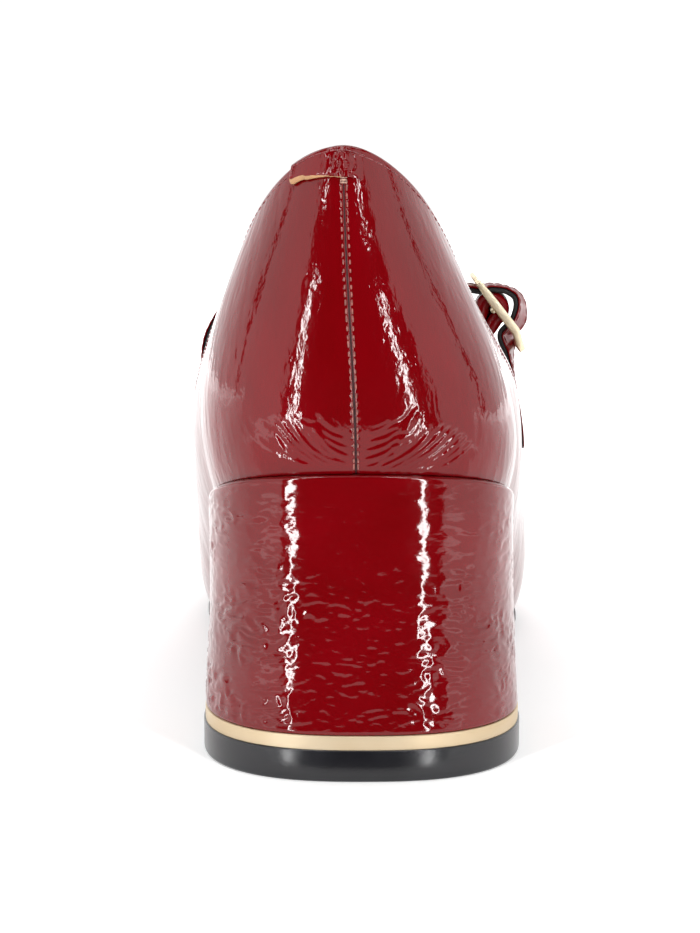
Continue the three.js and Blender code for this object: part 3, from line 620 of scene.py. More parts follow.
def thread_mesh(name, beads, material):
    """One mesh of all beads, each of them closed at both ends."""
    points = to_blender(np.concatenate(beads))
    faces = []
    last_ring = (len(BEAD_RINGS) - 1) * BEAD_SIDES
    for start in range(0, len(points), last_ring + BEAD_SIDES):
        for ring in range(start, start + last_ring, BEAD_SIDES):
            for k in range(BEAD_SIDES):
                low, beside = ring + k, ring + (k + 1) % BEAD_SIDES
                faces.append((low, beside, beside + BEAD_SIDES, low + BEAD_SIDES))
        faces.append(tuple(range(start, start + BEAD_SIDES))[::-1])
        faces.append(tuple(range(start + last_ring, start + last_ring + BEAD_SIDES)))
    piece = piece_of(name, points.tolist(), faces)
    piece.data.polygons.foreach_set("use_smooth", [True] * len(faces))
    piece.data.materials.append(material)
    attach(piece, "root")


def shoe_place(material):
    return node(material, "ShaderNodeTexCoord").outputs["Object"]


def thread_finish(name, tone):
    """Twisted thread, darker between its strands."""
    material, shader = finish_of(name, Roughness=0.45, Sheen_Weight=0.2)
    place = shoe_place(material)
    dark = tuple(0.45 * v for v in tone) + (1,)
    colour = mottled(material, place, 1800.0, dark, tone + (1,))
    twist = node(material, "ShaderNodeTexWave", {"Vector": place, "Scale": 2500.0})
    strands = bumped(material, twist.outputs["Fac"], 0.00003)
    return joined(material, shader, Base_Color=colour, Normal=strands)


red_thread = thread_finish("red_thread", (0.3, 0.055, 0.06))
# partly painted highlight: the back seam's dark red thread is coloured a lighter tan-pink that stands in for
# its highlights
highlit_seam_thread = thread_finish("highlit_seam_thread", (0.44, 0.14, 0.11))


def on_upper(around, under=None, above=None, lift=0.0):
    """Places on the leather at distances from the seam, under the top line or above the bottom edge."""
    turns = np.linspace(-0.5, 0.5, 2001)
    turn = np.interp(around, girth(turns), turns)
    rows, up = rib_lengths(turn, RIB_STEPS)
    t = shares_at(up[:, -1] - under if above is None else above, up, rows)
    out = directions(turn, t)[2]
    return outside(turn, t) + out * lift, out


def seam_row(side):
    """One of the seam's rows: short stitches of uneven length, half sunk in the leather."""
    above = np.linspace(SEAM_FROM, SEAM_TO, 200)
    row = on_upper(side * stitch_line(above), above=above, lift=-0.05)
    return stitch_rings(*row, radius=0.15, fill=0.6, loose=0.3)


edge_path = on_upper(np.linspace(-EDGE_REACH, EDGE_REACH, 2400), under=EDGE_UNDER)
thread_mesh("seam_stitches", [seam_row(LATERAL), seam_row(MEDIAL)], highlit_seam_thread)
thread_mesh("top_line_stitches", [stitch_rings(*edge_path, pitch=2.0, radius=0.13, sunk=0.05)], red_thread)

# Heel: a block of wood or plastic wrapped in the same patent leather, which is glued on wet and
# crinkles across the back. It is nailed up into the heel seat from inside the shoe.

HEEL_WIDTH = 62.2
HEEL_DEPTH = 48
HEEL_ROUND = 32
HEEL_SQUARENESS = 2.5
HEEL_STEPS = 12
HEEL_TOP_DEPTH = 53
HEEL_LEDGE = 1.2
HEEL_HOLLOW = 0.5
TOP_PIECE = 6
BAND = 2.7
BAND_INSET = 0.3
HEEL_TURN_EDGE = 0.7  # rounding of the wrapped heel's edges
HEEL_AROUND = 370
HEEL_UP = 160
BREAST_POINTS = 24
HEEL_MIDDLE = np.array([0.0, HEEL_ROUND])


def turn_at(s, side, edge=bottom_edge, count=2000):
    """Where an edge of the upper reaches distance s on a side."""
    turns = np.linspace(0, 0.5, count) if side == LATERAL else 1 - np.linspace(0, 0.5, count)
    return float(np.interp(s, edge(turns)[:, 1], turns))


def ledge_edge(turn, ledge):
    """The bottom edge moved outwards by a ledge, in plan."""
    ahead, behind = bottom_edge(turn + 0.001), bottom_edge(turn - 0.001)
    chord = behind - ahead
    out = unit(np.stack([chord[..., 1], -chord[..., 0]], axis=-1))
    return bottom_edge(turn) + out * ledge


def heel_foot(share, inset):
    """The heel's foot in plan: share runs from -1 at the lateral end of the breast to 1 at the medial."""
    half, deep = HEEL_WIDTH / 2 - inset, HEEL_ROUND - inset
    step = np.abs(share) * (HEEL_STEPS + 2)
    angle = np.clip(step / HEEL_STEPS, 0, 1) * math.pi / 2
    x = half * np.sin(angle) ** (2 / HEEL_SQUARENESS)
    s = HEEL_ROUND - deep * np.clip(np.cos(angle), 0, 1) ** (2 / HEEL_SQUARENESS)
    s += np.clip((step - HEEL_STEPS) / 2, 0, 1) * (HEEL_DEPTH - HEEL_ROUND)
    return np.stack([np.sign(share) * x, s], axis=-1)


def even_shares(count):
    """Shares round the heel whose points on its foot lie evenly apart."""
    shares = np.linspace(-1, 1, 4000)
    way = lengths_along(heel_foot(shares, 0), 0)
    return np.interp(np.linspace(0, way[-1], count), way, shares)


def with_breast(edge):
    """Closes an outline of the heel by the straight line of its breast."""
    blend = np.linspace(0, 1, BREAST_POINTS + 2)[1:-1, None]
    return np.concatenate([edge, edge[-1] + (edge[0] - edge[-1]) * blend])


def edge_rounding(radius, from_edge):
    """How far a face draws in near an edge that is rounded."""
    return radius - np.sqrt(np.clip(radius**2 - np.clip(radius - from_edge, 0, None) ** 2, 0, None))


def heel_relief(around, z):
    """Wavy level crinkles that grow towards the foot of the heel and on its medial side."""
    bend = 0.9 * noise(around / 5, z / 3, 21) + 0.5 * noise(around / 2, z / 1.4, 22)
    slant = 0.22 * around * smooth(4, 16, around)
    waves = noise(around / 2.5 + 0.4 * bend, (z + slant) / 0.9 + bend, 23)
    ridged = 1 - 2 * np.abs(waves)
    patches = smooth(-0.5, 0.5, noise(around / 6, z / 4, 24))
    low = 1 - smooth(26, 44, z - 0.2 * np.abs(around) + 3 * noise(around / 9, 0 * z, 25))
    medial = smooth(9, 20, around) * (1 - smooth(52, 57, z))
    lateral = smooth(12, 24, -around) * (1 - smooth(44, 55, z))
    sides = 0.15 * medial * patches + 0.1 * lateral * patches
    amount = 0.012 + 0.07 * low * (0.45 + 0.55 * patches) + sides
    soft = 0.05 * noise(around / 5, z / 6, 26) + 0.028 * noise(around / 1.5, z / 1.1, 27)
    return amount * ridged + soft


def heel_wrap():
    """The wrapped block: its sides from the foot up to the seat, and both ends turned in."""
    shares = even_shares(HEEL_AROUND)
    lateral, medial = turn_at(HEEL_TOP_DEPTH, LATERAL), turn_at(HEEL_TOP_DEPTH, MEDIAL) - 1
    foot = with_breast(heel_foot(shares, BAND_INSET))
    seat = ledge_edge(np.where(shares < 0, -shares * lateral, shares * medial), HEEL_LEDGE)
    seat[[0, -1], 1] = HEEL_TOP_DEPTH
    seat = with_breast(seat)
    base = TOP_PIECE + BAND
    around = lengths_along(foot, 0)
    around -= around[HEEL_AROUND // 2]
    level = np.linspace(0, 1, HEEL_UP)
    plan = foot[:, None, :] + (seat - foot)[:, None, :] * level[None, :, None]
    rise = bottom_line(plan[..., 1]) - base
    z = base + rise * level
    from_edge = np.minimum(z - base + 0.05, base + rise - z)
    rounded = edge_rounding(HEEL_TURN_EDGE, from_edge)
    back = np.arange(len(foot))[:, None] < HEEL_AROUND
    bumps = np.where(back, heel_relief(np.broadcast_to(around[:, None], z.shape), z), 0)
    bumps *= smooth(0, 2.5, z - base) * smooth(0, 2, base + rise - z)
    inwards = HEEL_HOLLOW * np.sin(math.pi * level)[None, :] + rounded - bumps
    plan = plan + unit(HEEL_MIDDLE - plan) * inwards[..., None]
    points = np.concatenate([plan, z[..., None]], axis=-1)
    rims = []
    for share in (0.7, 0.35, 0.02):
        flat = HEEL_MIDDLE + (plan[:, -1] - HEEL_MIDDLE) * share
        rims.append(np.concatenate([flat, bottom_line(flat[:, 1])[:, None]], axis=-1))
    for share in (0.02, 0.5):
        flat = HEEL_MIDDLE + (plan[:, 0] - HEEL_MIDDLE) * share
        rims.append(np.concatenate([flat, np.full((len(flat), 1), base)], axis=-1))
    points = np.concatenate([points, np.stack(rims, axis=1)], axis=1)
    heights = np.concatenate([z, np.broadcast_to(z[:, -1:], (len(z), len(rims)))], axis=1)
    return grid_mesh("heel_wrap", points, skin_of(around[:, None], heights))


heel_piece = heel_wrap()
heel_piece.data.materials.append(patent("heel_patent", 0.55, 1.0, 0.00003))
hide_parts("heel_block")
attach(heel_piece, "root")

# Heel band and top piece: a thin plated metal plate, brushed along its edge, and under it a black
# moulded heel tip. Both are nailed and glued to the foot of the heel.


def plated(name, tone, dark, rough, grain, metal=1.0):
    """Plated metal with fine brushing along the part and a soft cloudiness."""
    material, shader = finish_of(name, Metallic=metal)
    place = shoe_place(material)
    colour = mottled(material, place, 40.0, dark, tone)
    level = stretched(material, place, grain)
    noise_lines = node(material, "ShaderNodeTexNoise", {"Vector": level, "Scale": 1.0, "Detail": 3.0})
    lines = noise_lines.outputs["Fac"]
    spread = ranged(material, lines, 0, 1, rough * 0.7, rough * 1.4)
    brushing = bumped(material, lines, 0.000006)
    return joined(material, shader, Base_Color=colour, Roughness=spread, Normal=brushing)


PLATE_AROUND = 260


def heel_plate(name, bottom, thick, inset, edges):
    """A plate of the heel's foot outline; edges are the roundings of its lower and its upper edge."""
    foot = with_breast(heel_foot(even_shares(PLATE_AROUND), inset))
    top = bottom + thick
    side = []
    for edge, start, first in ((edges[0], bottom + edges[0], -math.pi / 2), (edges[1], top - edges[1], 0)):
        for a in np.linspace(first, first + math.pi / 2, 6):
            inwards = edge * (1 - math.cos(a))
            side.append((foot + unit(HEEL_MIDDLE - foot) * inwards, start + edge * math.sin(a)))
    for share, z in ((0.5, top), (0.02, top), (0.02, bottom), (0.5, bottom)):
        side.append((HEEL_MIDDLE + (foot - HEEL_MIDDLE) * share, z))
    points = np.stack([np.column_stack([plan, np.full(len(plan), z)]) for plan, z in side], axis=1)
    return grid_mesh(name, points, skin_of(lengths_along(foot, 0)[:, None], points[..., 2]))


def black_finish(name, rough, mirror, cloud, dark, light, **grain):
    """Black plastic or sole leather with soft clouds and a fine grain."""
    material, shader = finish_of(name, Roughness=rough, Specular_IOR_Level=mirror)
    place = shoe_place(material)
    tone = mottled(material, place, cloud, dark, light)
    return joined(material, shader, Base_Color=tone, Normal=relief(material, place, Detail=4.0, **grain))


BAND_TONE = (0.62, 0.5, 0.34, 1)
BAND_DARK = (0.56, 0.41, 0.23, 1)
band_piece = heel_plate("band_plate", TOP_PIECE, BAND, BAND_INSET, (0.12, 0.3))
band_piece.data.materials.append(plated("band_metal", BAND_TONE, BAND_DARK, 0.45, (60, 60, 9000), 0.4))
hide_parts("heel_band")
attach(band_piece, "root")

TIP_DARK = (0.006, 0.006, 0.008, 1)
TIP_LIGHT = (0.013, 0.013, 0.016, 1)
tip_piece = heel_plate("heel_tip", 0, TOP_PIECE, 0, (0.6, 0.3))
tip_piece.data.materials.append(
    black_finish("tip_plastic", 0.22, 0.6, 90.0, TIP_DARK, TIP_LIGHT, scale=1500.0, depth=0.00002)
)
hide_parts("top_piece")
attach(tip_piece, "root")

# Outsole: a thin black sheet sole, cut to the last's outline, its edge rounded and burnished, and
# cemented under the upper from the heel breast to the toe.

SOLE_LEDGE = 0.6
SOLE_ROWS = 150
SOLE_COLUMNS = 14
EDGE_COLUMNS = np.array([0, 0.001, 0.004, 0.009, 0.016])
TOE_SLIT = 0.004  # the two edges stop this far from the toe, as a share of the way round


def slab_mesh(name, starts, ledge, bottom, thick, edge, dome=0.0):
    """A slab across the shoe whose rounded edges follow the upper's bottom edge."""
    share = 0.5 - 0.5 * np.cos(np.linspace(0, math.pi, SOLE_ROWS))
    toe = 0.5 - TOE_SLIT
    lateral = ledge_edge(starts[0] + (toe - starts[0]) * share, ledge)
    medial = ledge_edge(starts[1] + (1 - toe - starts[1]) * share, ledge)
    half = np.concatenate([EDGE_COLUMNS, np.linspace(0.03, 0.97, SOLE_COLUMNS), 1 - EDGE_COLUMNS[::-1]])
    across = np.concatenate([half, half[::-1]])
    wide = np.linalg.norm(lateral - medial, axis=1)[:, None]
    plan = lateral[:, None] + (medial - lateral)[:, None] * across[None, :, None]
    from_side = np.minimum(across, 1 - across)[None, :] * wide
    rounded = edge_rounding(edge, from_side)
    top = np.arange(len(across))[None, :] >= len(half)
    full = np.sin(math.pi * np.clip(share * 1.1, 0, 1))
    puff = dome * np.sin(math.pi * across)[None, :] * full[:, None]
    height = np.where(top, bottom + thick - rounded + puff, bottom + rounded)
    z = bottom_line(plan[..., 1]) + height
    points = np.concatenate([plan, z[..., None]], axis=-1)
    return grid_mesh(name, points, points[..., :2], closed=False)


sole_starts = (turn_at(HEEL_TOP_DEPTH + GAP, LATERAL), turn_at(HEEL_TOP_DEPTH + GAP, MEDIAL))
sole_piece = slab_mesh("sheet_sole", sole_starts, SOLE_LEDGE, -SOLE, SOLE, 0.9)
SOLE_DARK = (0.008, 0.008, 0.009, 1)
SOLE_LIGHT = (0.018, 0.017, 0.018, 1)
sole_piece.data.materials.append(
    black_finish("black_sole", 0.5, 0.4, 70.0, SOLE_DARK, SOLE_LIGHT, scale=1100.0, depth=0.00006)
)
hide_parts("outsole")
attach(sole_piece, "root")

# Sock: a padded tan leather sock, glued over the insole board from the heel seat to the toe. It is
# seen only inside the shoe.

INSOLE = 2.8
sock_piece = slab_mesh("sock", (0.004, 0.996), -WALL - GAP, GAP, INSOLE, 1.0, 0.4)
SOCK_TONE = (0.46, 0.29, 0.16)
sock_piece.data.materials.append(lining_finish("tan_sock", SOCK_TONE))
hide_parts("insole")
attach(sock_piece, "root")

# Instep strap: a 12 mm strap of patent leather lined in black, sewn inside the medial quarter. It
# goes over the instep, under the buckle's upper end, over its centre bar and down outside the quarter.

STRAP_PLACE = 112
STRAP_WIDTH = 12
STRAP_FACE, STRAP_LINING = 0.3, 1.25  # thickness of the two layers
STRAP_RISE = 40
STRAP_SEWN = 14
SEWN_CLEAR = 0.6
RIM_CLEAR = 0.2
STRAP_TAIL = 8.5
BUCKLE_LENGTH = 20.4
BUCKLE_BAR = 2
BUCKLE_RISE = 22.4
BUCKLE_INSET = 1.6
BUCKLE_LEAN = math.radians(38)
SIDE_PLAY = 0.4
PRONG = 1.3
STRAP_STEP = 0.55
STITCHES_IN = 1.4  # the strap's stitches, from its edge

Arch = namedtuple("Arch", "across rise back tilt")
STRAP_ARCH = [
    Arch(0.028, 0.275, 0.05, 2),
    Arch(0.038, 0.425, 0.12, 5),
    Arch(0.086, 0.58, 0.22, 9),
    Arch(0.185, 0.79, 0.38, 17),
    Arch(0.338, 0.95, 0.5, 25),
    Arch(0.519, 1, 0.5, 26),
    Arch(0.686, 0.912, 0.3, 16),
]
# Through the buckle: along and above are places in its own plane, in mm from the frame's middle, and
# lean is how many degrees the strap's far edge stands out there.
Weave = namedtuple("Weave", "along above lean")
STRAP_WEAVE = [Weave(*row) for row in (
    (-13.0, -4.3, 0), (-9.8, -2.8, 0), (-8.7, -1.9, 0), (-7.7, -0.9, 0),
    (-7.1, 0.1, 0), (-6.5, 1.4, -1), (-5.5, 2.5, -1), (-4.5, 3.5, -1),
    (-3.3, 4.1, 0), (-2.1, 4.4, 3), (-1.1, 4.1, 8), (-0.2, 3.4, 12),
    (0.6, 2.4, 15), (1.3, 1.3, 18), (1.7, 0.1, 18), (1.9, -1.2, 16),
    (2.1, -2.4, 14), (2.5, -3.3, 17), (3.4, -4.0, 18), (4.6, -4.4, 18),
    (6.0, -4.7, 14), (8.2, -5.6, 8),
)]


lateral_turn, medial_turn = (turn_at(STRAP_PLACE, side, top_line, 4000) for side in (LATERAL, MEDIAL))
lateral_foot, medial_foot = outside(lateral_turn, 1), outside(medial_turn, 1)
buckle_middle = lateral_foot + np.array([BUCKLE_INSET, 0, BUCKLE_RISE])
down_buckle = np.array([-math.sin(BUCKLE_LEAN), 0, -math.cos(BUCKLE_LEAN)])
out_of_buckle = np.array([-math.cos(BUCKLE_LEAN), 0, math.sin(BUCKLE_LEAN)])
FORWARD = np.array([0.0, 1.0, 0.0])
BAR_ALONG, BAR_ABOVE = -2.7, -1.1  # the centre bar's place in the frame


def at_buckle(along, above):
    """A place in the buckle's plane: down the frame from its middle, and out of it."""
    return buckle_middle + down_buckle * along + out_of_buckle * above


def on_wall(turn, under, depth):
    """A row of a strap that lies on the quarter, some height under the top line."""
    rows = np.linspace(0, 1, 2000)
    t = float(np.interp(outside(turn, 1)[2] - under, outside(turn, rows)[:, 2], rows))
    ahead, _, out = directions(turn, np.array(t))
    return outside(turn, t) - out * depth, ahead * np.sign(ahead[1])


def smooth_path(points, step):
    """A centripetal curve through the points, cut into even steps; also its place among the rows."""
    points = np.array(points)
    ends = np.vstack([2 * points[0] - points[1], points, 2 * points[-1] - points[-2]])
    places, counts = [], []
    for i in range(len(points) - 1):
        p0, p1, p2, p3 = ends[i:i + 4]
        d0, d1, d2 = (np.linalg.norm(b - a) ** 0.5 for a, b in ((p0, p1), (p1, p2), (p2, p3)))
        m1 = ((p1 - p0) / d0 - (p2 - p0) / (d0 + d1) + (p2 - p1) / d1) * d1
        m2 = ((p2 - p1) / d1 - (p3 - p1) / (d1 + d2) + (p3 - p2) / d2) * d1
        f = np.linspace(0, 1, 60, endpoint=i == len(points) - 2)[:, None]
        cubic = (2 * f**3 - 3 * f**2 + 1) * p1 + (f**3 - 2 * f**2 + f) * m1
        places.append(cubic + (3 * f**2 - 2 * f**3) * p2 + (f**3 - f**2) * m2)
        counts.append(i + f[:, 0])
    places, counts = np.vstack(places), np.concatenate(counts)
    way = lengths_along(places, 0)
    even = np.linspace(0, way[-1], int(way[-1] / step))
    return at_distance(even, way, places), np.interp(even, way, counts), even


def strip_frame(rows, step):
    """The path of a strap with its directions across and out of its face. A row is a place, the
    direction across and, where the far edge stands out, the strap's lean in degrees."""
    path, place, way = smooth_path([row[0] for row in rows], step)
    number = range(len(rows))
    across = at_distance(place, number, np.array([row[1] for row in rows]))
    along = unit(np.gradient(path, axis=0))
    across = unit(across - along * (across * along).sum(axis=1, keepdims=True))
    out = unit(np.cross(across, along))
    degrees = np.interp(place, number, [row[2] if len(row) > 2 else 0 for row in rows])
    lean = np.radians(degrees)[:, None]
    path = path + out * STRAP_WIDTH / 2 * np.sin(lean)
    leant = across * np.cos(lean) + out * np.sin(lean)
    return path, leant, out * np.cos(lean) - across * np.sin(lean), way


def strip_mesh(name, strip, width, low, high, tip=False, wave=0.0, share=1.0):
    """A layer of a strap between two heights from its middle, with rounded edges and a round tip."""
    path, across, out, way = strip
    left = way[-1] - way + 0.2
    shrink = np.sqrt(1 - np.clip(1 - 2 * left / width, 0, 1) ** 2) if tip else np.ones(len(way))
    corner = (high - low) / 2
    middle = (high + low) / 2
    half = width / 2 - corner
    flat = np.linspace(-1, 1, 15)
    turned = np.linspace(-math.pi / 2, math.pi / 2, 7)
    outline = [(f * half, -corner) for f in flat]
    outline += [(half + corner * math.cos(a), corner * math.sin(a)) for a in turned[1:-1]]
    outline += [(f * half, corner) for f in flat[::-1]]
    outline += [(-half - corner * math.cos(a), corner * math.sin(a)) for a in turned[::-1][1:-1]]
    x, y = np.array(outline).T
    bumps = wave * noise(way[:, None] / 3 + 0 * x, x[None, :] / 3 + 0 * way[:, None], 31) * (y > 0)
    points = path[:, None] + across[:, None] * (x[None, :] * shrink[:, None])[..., None]
    height = (middle + y[None, :]) * np.reshape(share, (-1, 1)) + bumps
    points = points + out[:, None] * height[..., None]
    return grid_mesh(name, points, skin_of(x, way[:, None]), closed=False)


strap_low, strap_split = -STRAP_LINING / 2, STRAP_LINING / 2
strap_high = strap_split + STRAP_FACE


def strap_rows():
    """From the sewn medial end over the instep and through the buckle to the tail."""
    inner = WALL + SEWN_CLEAR + strap_high
    outer = -GAP + strap_low
    span = lateral_foot[0] - medial_foot[0]
    rows = [
        on_wall(medial_turn, STRAP_SEWN, inner),
        on_wall(medial_turn, STRAP_SEWN / 2, inner),
        on_wall(medial_turn, 0, inner + RIM_CLEAR),
    ]
    for row in STRAP_ARCH:
        tilt = math.radians(row.tilt)
        shift = np.array([row.across * span, -row.back * STRAP_WIDTH, row.rise * STRAP_RISE])
        rows.append((medial_foot + shift, np.array([0, math.cos(tilt), -math.sin(tilt)])))
    for row in STRAP_WEAVE:
        rows.append((at_buckle(row.along, row.above), FORWARD, row.lean))
    rows.append(on_wall(lateral_turn, 0, outer - RIM_CLEAR))
    rows.append(on_wall(lateral_turn, STRAP_TAIL / 2, outer))
    rows.append(on_wall(lateral_turn, STRAP_TAIL, outer))
    return rows


strap = strip_frame(strap_rows(), STRAP_STEP)
strap_face = strip_mesh("strap_face", strap, STRAP_WIDTH, strap_split, strap_high, True, 0.04)
strap_back = strip_mesh("strap_lining", strap, STRAP_WIDTH - 0.3, strap_low, strap_split - 0.02, True)
strap_face.data.materials.append(patent("strap_patent", 1.0, 0.7, gloss=0.3, mirror=0.1))
strap_back.data.materials.append(black_lining)
for strap_piece, strap_slot in ((strap_face, "patent"), (strap_back, "sock")):
    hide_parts("instep_strap")
    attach(strap_piece, "root")


def strap_stitches(side):
    """The row of stitches along one edge, from the sewn end to the round tip."""
    path, across, out, way = strap
    shown = (way > STRAP_SEWN) & (way < way[-1] - STRAP_WIDTH / 2)
    edge = path[shown] + across[shown] * side * (STRAP_WIDTH / 2 - STITCHES_IN)
    return stitch_rings(edge + out[shown] * (strap_high + 0.03), out[shown], pitch=2.0, radius=0.13)


thread_mesh("strap_stitches", [strap_stitches(-1), strap_stitches(1)], red_thread)

# Short strap: a doubled strip of the same patent leather, folded round the buckle's centre bar with
# a slot for the prong, and sewn inside the lateral quarter.

CHAPE_LAYER = 3.3  # thickness of one layer at the bar
CHAPE_THIN = 0.6  # share lost at the sewn end
CHAPE_THINS = (5.5, 14)  # distances from the bar between which it thins
CHAPE_LEAN = 3
CHAPE_STEP = 0.45
BAR_RADIUS = 0.65
Chape = namedtuple("Chape", "along under")
CHAPE_PATH = [Chape(0.5, 0.52), Chape(0.0, 0.34), Chape(-0.12, 0.2)]
LOOP_ANGLES = (125, 90, 45, 0, -45, -90, -125)
LATERAL_WAY = np.array([-1.0, 0.0, 0.0])


def chape_share(places):
    """The layers' thickness at places, as a share of that at the bar."""
    far = np.linalg.norm((places - at_buckle(BAR_ALONG, BAR_ABOVE)) * (1, 0, 1), axis=-1)
    return 1 - CHAPE_THIN * smooth(*CHAPE_THINS, far)


def chape_middle():
    """The middle of the doubled strap, from inside the quarter up to the bar."""
    inner = WALL + SEWN_CLEAR + CHAPE_LAYER * (1 - CHAPE_THIN)
    walls = ((STRAP_SEWN, inner), (STRAP_SEWN / 2, inner), (0, inner + RIM_CLEAR))
    places = [on_wall(lateral_turn, under, depth)[0] for under, depth in walls]
    for row in CHAPE_PATH:
        places.append(at_buckle(row.along * BUCKLE_LENGTH / 2, -row.under * BUCKLE_RISE))
    return np.array(places)


def chape_rows():
    """Up one layer, round the bar and down the other layer."""
    middle = chape_middle()
    aside = unit(np.cross(FORWARD, np.gradient(middle, axis=0)))
    offset = (CHAPE_LAYER / 2 * chape_share(middle) + 0.01)[:, None]
    bar = at_buckle(BAR_ALONG, BAR_ABOVE)
    towards = unit(bar - middle[-1])
    sideways = np.cross(FORWARD, towards)
    radius = BAR_RADIUS + CHAPE_LAYER / 2 + 0.03
    turned = [math.radians(angle) for angle in LOOP_ANGLES]
    loop = [bar + radius * (math.cos(a) * towards + math.sin(a) * sideways) for a in turned]
    rows = [*(middle + offset * aside), *loop, *(middle - offset * aside)[::-1]]
    slant = unit(FORWARD + math.tan(math.radians(CHAPE_LEAN)) * LATERAL_WAY)
    return [(row, slant) for row in rows]


def cut_slot(piece):
    """Cuts the slot for the prong round the centre bar."""
    reach = (BAR_RADIUS + CHAPE_LAYER + 0.4) * MM
    bpy.ops.mesh.primitive_cylinder_add(vertices=32, radius=reach, depth=(PRONG + 2 * GAP) * MM)
    tool = bpy.context.object
    tool.rotation_euler = (math.pi / 2, 0, 0)
    tool.location = to_blender(at_buckle(BAR_ALONG, BAR_ABOVE))
    cut = piece.modifiers.new("slot", "BOOLEAN")
    cut.operation = "DIFFERENCE"
    cut.object = tool
    bpy.context.view_layer.update()
    shaped = bpy.data.meshes.new_from_object(piece.evaluated_get(bpy.context.evaluated_depsgraph_get()))
    piece.modifiers.clear()
    piece.data = shaped
    bpy.data.objects.remove(tool, do_unlink=True)


chape = strip_frame(chape_rows(), CHAPE_STEP)
chape_half = CHAPE_LAYER / 2
thinning = chape_share(chape[0])
chape_layers = (-chape_half, chape_half)
chape_piece = strip_mesh("short_strap", chape, STRAP_WIDTH, *chape_layers, wave=0.03, share=thinning)
cut_slot(chape_piece)
chape_piece.data.materials.append(patent("short_strap_patent", gloss=0.25, mirror=0.15))
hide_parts("buckle_strap")
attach(chape_piece, "root")

# Buckle: a cast frame, bent in near its lower end, with a round centre bar, plated in pale gold and
# polished. The prong is bent wire of the same finish, closed round the bar.

BUCKLE_TONE = (0.93, 0.82, 0.62, 1)
BUCKLE_DARK = (0.88, 0.74, 0.5, 1)
BUCKLE_SHORT = 1.4
BUCKLE_CORNER = 1.6
BUCKLE_BEND = math.radians(23)
BUCKLE_BEND_AT = 4.5
BAR_TAPER = 0.5  # thickness lost at both ends
BAR_SQUARE = 0.35  # 1 is a round section, 0 a square one
UPPER_REACH = 1.1
BAR_REACH = 1.2  # the centre bar's ends, past the frame's opening
PIN_RADIUS = 0.55
PIN_CLEAR = 0.15
PIN_WAY = ((-5, 0.2), (-7.5, 0.3), (-BUCKLE_LENGTH / 2, 0.0))  # along and above, from the ring to its tip
buckle_metal = plated("buckle_metal", BUCKLE_TONE, BUCKLE_DARK, 0.45, (900, 900, 900))


def frame_line():
    """The middle line of the frame's bars in its own plane, with the outward direction there."""
    corner = BUCKLE_CORNER - BUCKLE_BAR / 2 + 0.4
    half = BUCKLE_LENGTH / 2
    ends = (-half - UPPER_REACH + BUCKLE_BAR / 2, half - BUCKLE_SHORT - BUCKLE_BAR / 2)
    side = STRAP_WIDTH / 2 + SIDE_PLAY + BUCKLE_BAR / 2
    places, outwards = [], []
    for quarter, (x, y) in enumerate(((1, 1), (0, 1), (0, -1), (1, -1))):
        centre = np.array([ends[x] + (corner if x == 0 else -corner), y * (side - corner)])
        for angle in np.linspace(0, math.pi / 2, 8) + quarter * math.pi / 2:
            out = np.array([math.cos(angle), math.sin(angle)])
            places.append(centre + corner * out)
            outwards.append(out)
    return np.array(places), np.array(outwards)


def cut_fine(values, times):
    """Puts straight steps between the points of a closed line."""
    steps = np.arange(times)[:, None]
    return np.concatenate([a + (b - a) * steps / times for a, b in zip(values, np.roll(values, -1, axis=0))])


def bent_frame():
    """The frame's four bars in one ring: thinner at both ends, and bent in towards the lower one."""
    places, outwards = (cut_fine(values, 6) for values in frame_line())
    outwards = unit(outwards)
    thin = BAR_TAPER * smooth(0.45, 1.1, np.abs(places[:, 0]) / (BUCKLE_LENGTH / 2))
    drop = np.clip(places[:, 0] - BUCKLE_BEND_AT, 0, None) * math.tan(BUCKLE_BEND)
    section = np.linspace(0, 2 * math.pi, 20, endpoint=False)
    square = [np.sign(f(section)) * np.abs(f(section)) ** BAR_SQUARE for f in (np.cos, np.sin)]
    flat = places[:, None] + outwards[:, None] * (BUCKLE_BAR / 2 * square[0])[None, :, None]
    above = -drop[:, None] + (BUCKLE_BAR / 2 - thin)[:, None] * square[1][None, :]
    along, across = flat[..., 0], flat[..., 1]
    points = buckle_middle + along[..., None] * down_buckle + above[..., None] * out_of_buckle
    return grid_mesh("buckle_ring", points + across[..., None] * FORWARD)


def round_wire(name, path, first, second, radius, count):
    """A round wire along a path; first and second are the directions across it."""
    turn = np.linspace(0, 2 * math.pi, count, endpoint=False)[None, :, None]
    wheel = np.cos(turn) * first + np.sin(turn) * second
    return grid_mesh(name, path[:, None] + radius * wheel, closed=False)


def centre_bar():
    """A straight round bar across the frame."""
    ends = np.linspace(-1, 1, 12) * (STRAP_WIDTH / 2 + SIDE_PLAY + BAR_REACH)
    path = at_buckle(BAR_ALONG, BAR_ABOVE) + ends[:, None] * FORWARD
    return round_wire("buckle_bar", path, down_buckle, out_of_buckle, BAR_RADIUS, 20)


def prong():
    """Bent wire: once round the bar, then straight to the upper end of the frame."""
    ring = BAR_RADIUS + PIN_CLEAR + PIN_RADIUS
    turns = np.linspace(-1.5 * math.pi, 0.45 * math.pi, 26)[::-1]
    round_bar = [(BAR_ALONG + ring * math.cos(a), BAR_ABOVE + ring * math.sin(a)) for a in turns]
    path = np.array([at_buckle(*place) for place in (*round_bar, *PIN_WAY)])
    side = np.cross(FORWARD, unit(np.gradient(path, axis=0)))
    return round_wire("prong_wire", path, FORWARD, side[:, None], PIN_RADIUS, 12)


for frame_piece in (bent_frame(), centre_bar()):
    frame_piece.data.materials.append(buckle_metal)
    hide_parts("buckle_frame")
    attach(frame_piece, "root")
prong_piece = prong()
prong_piece.data.materials.append(buckle_metal)
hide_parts("buckle_prong")
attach(prong_piece, "root")

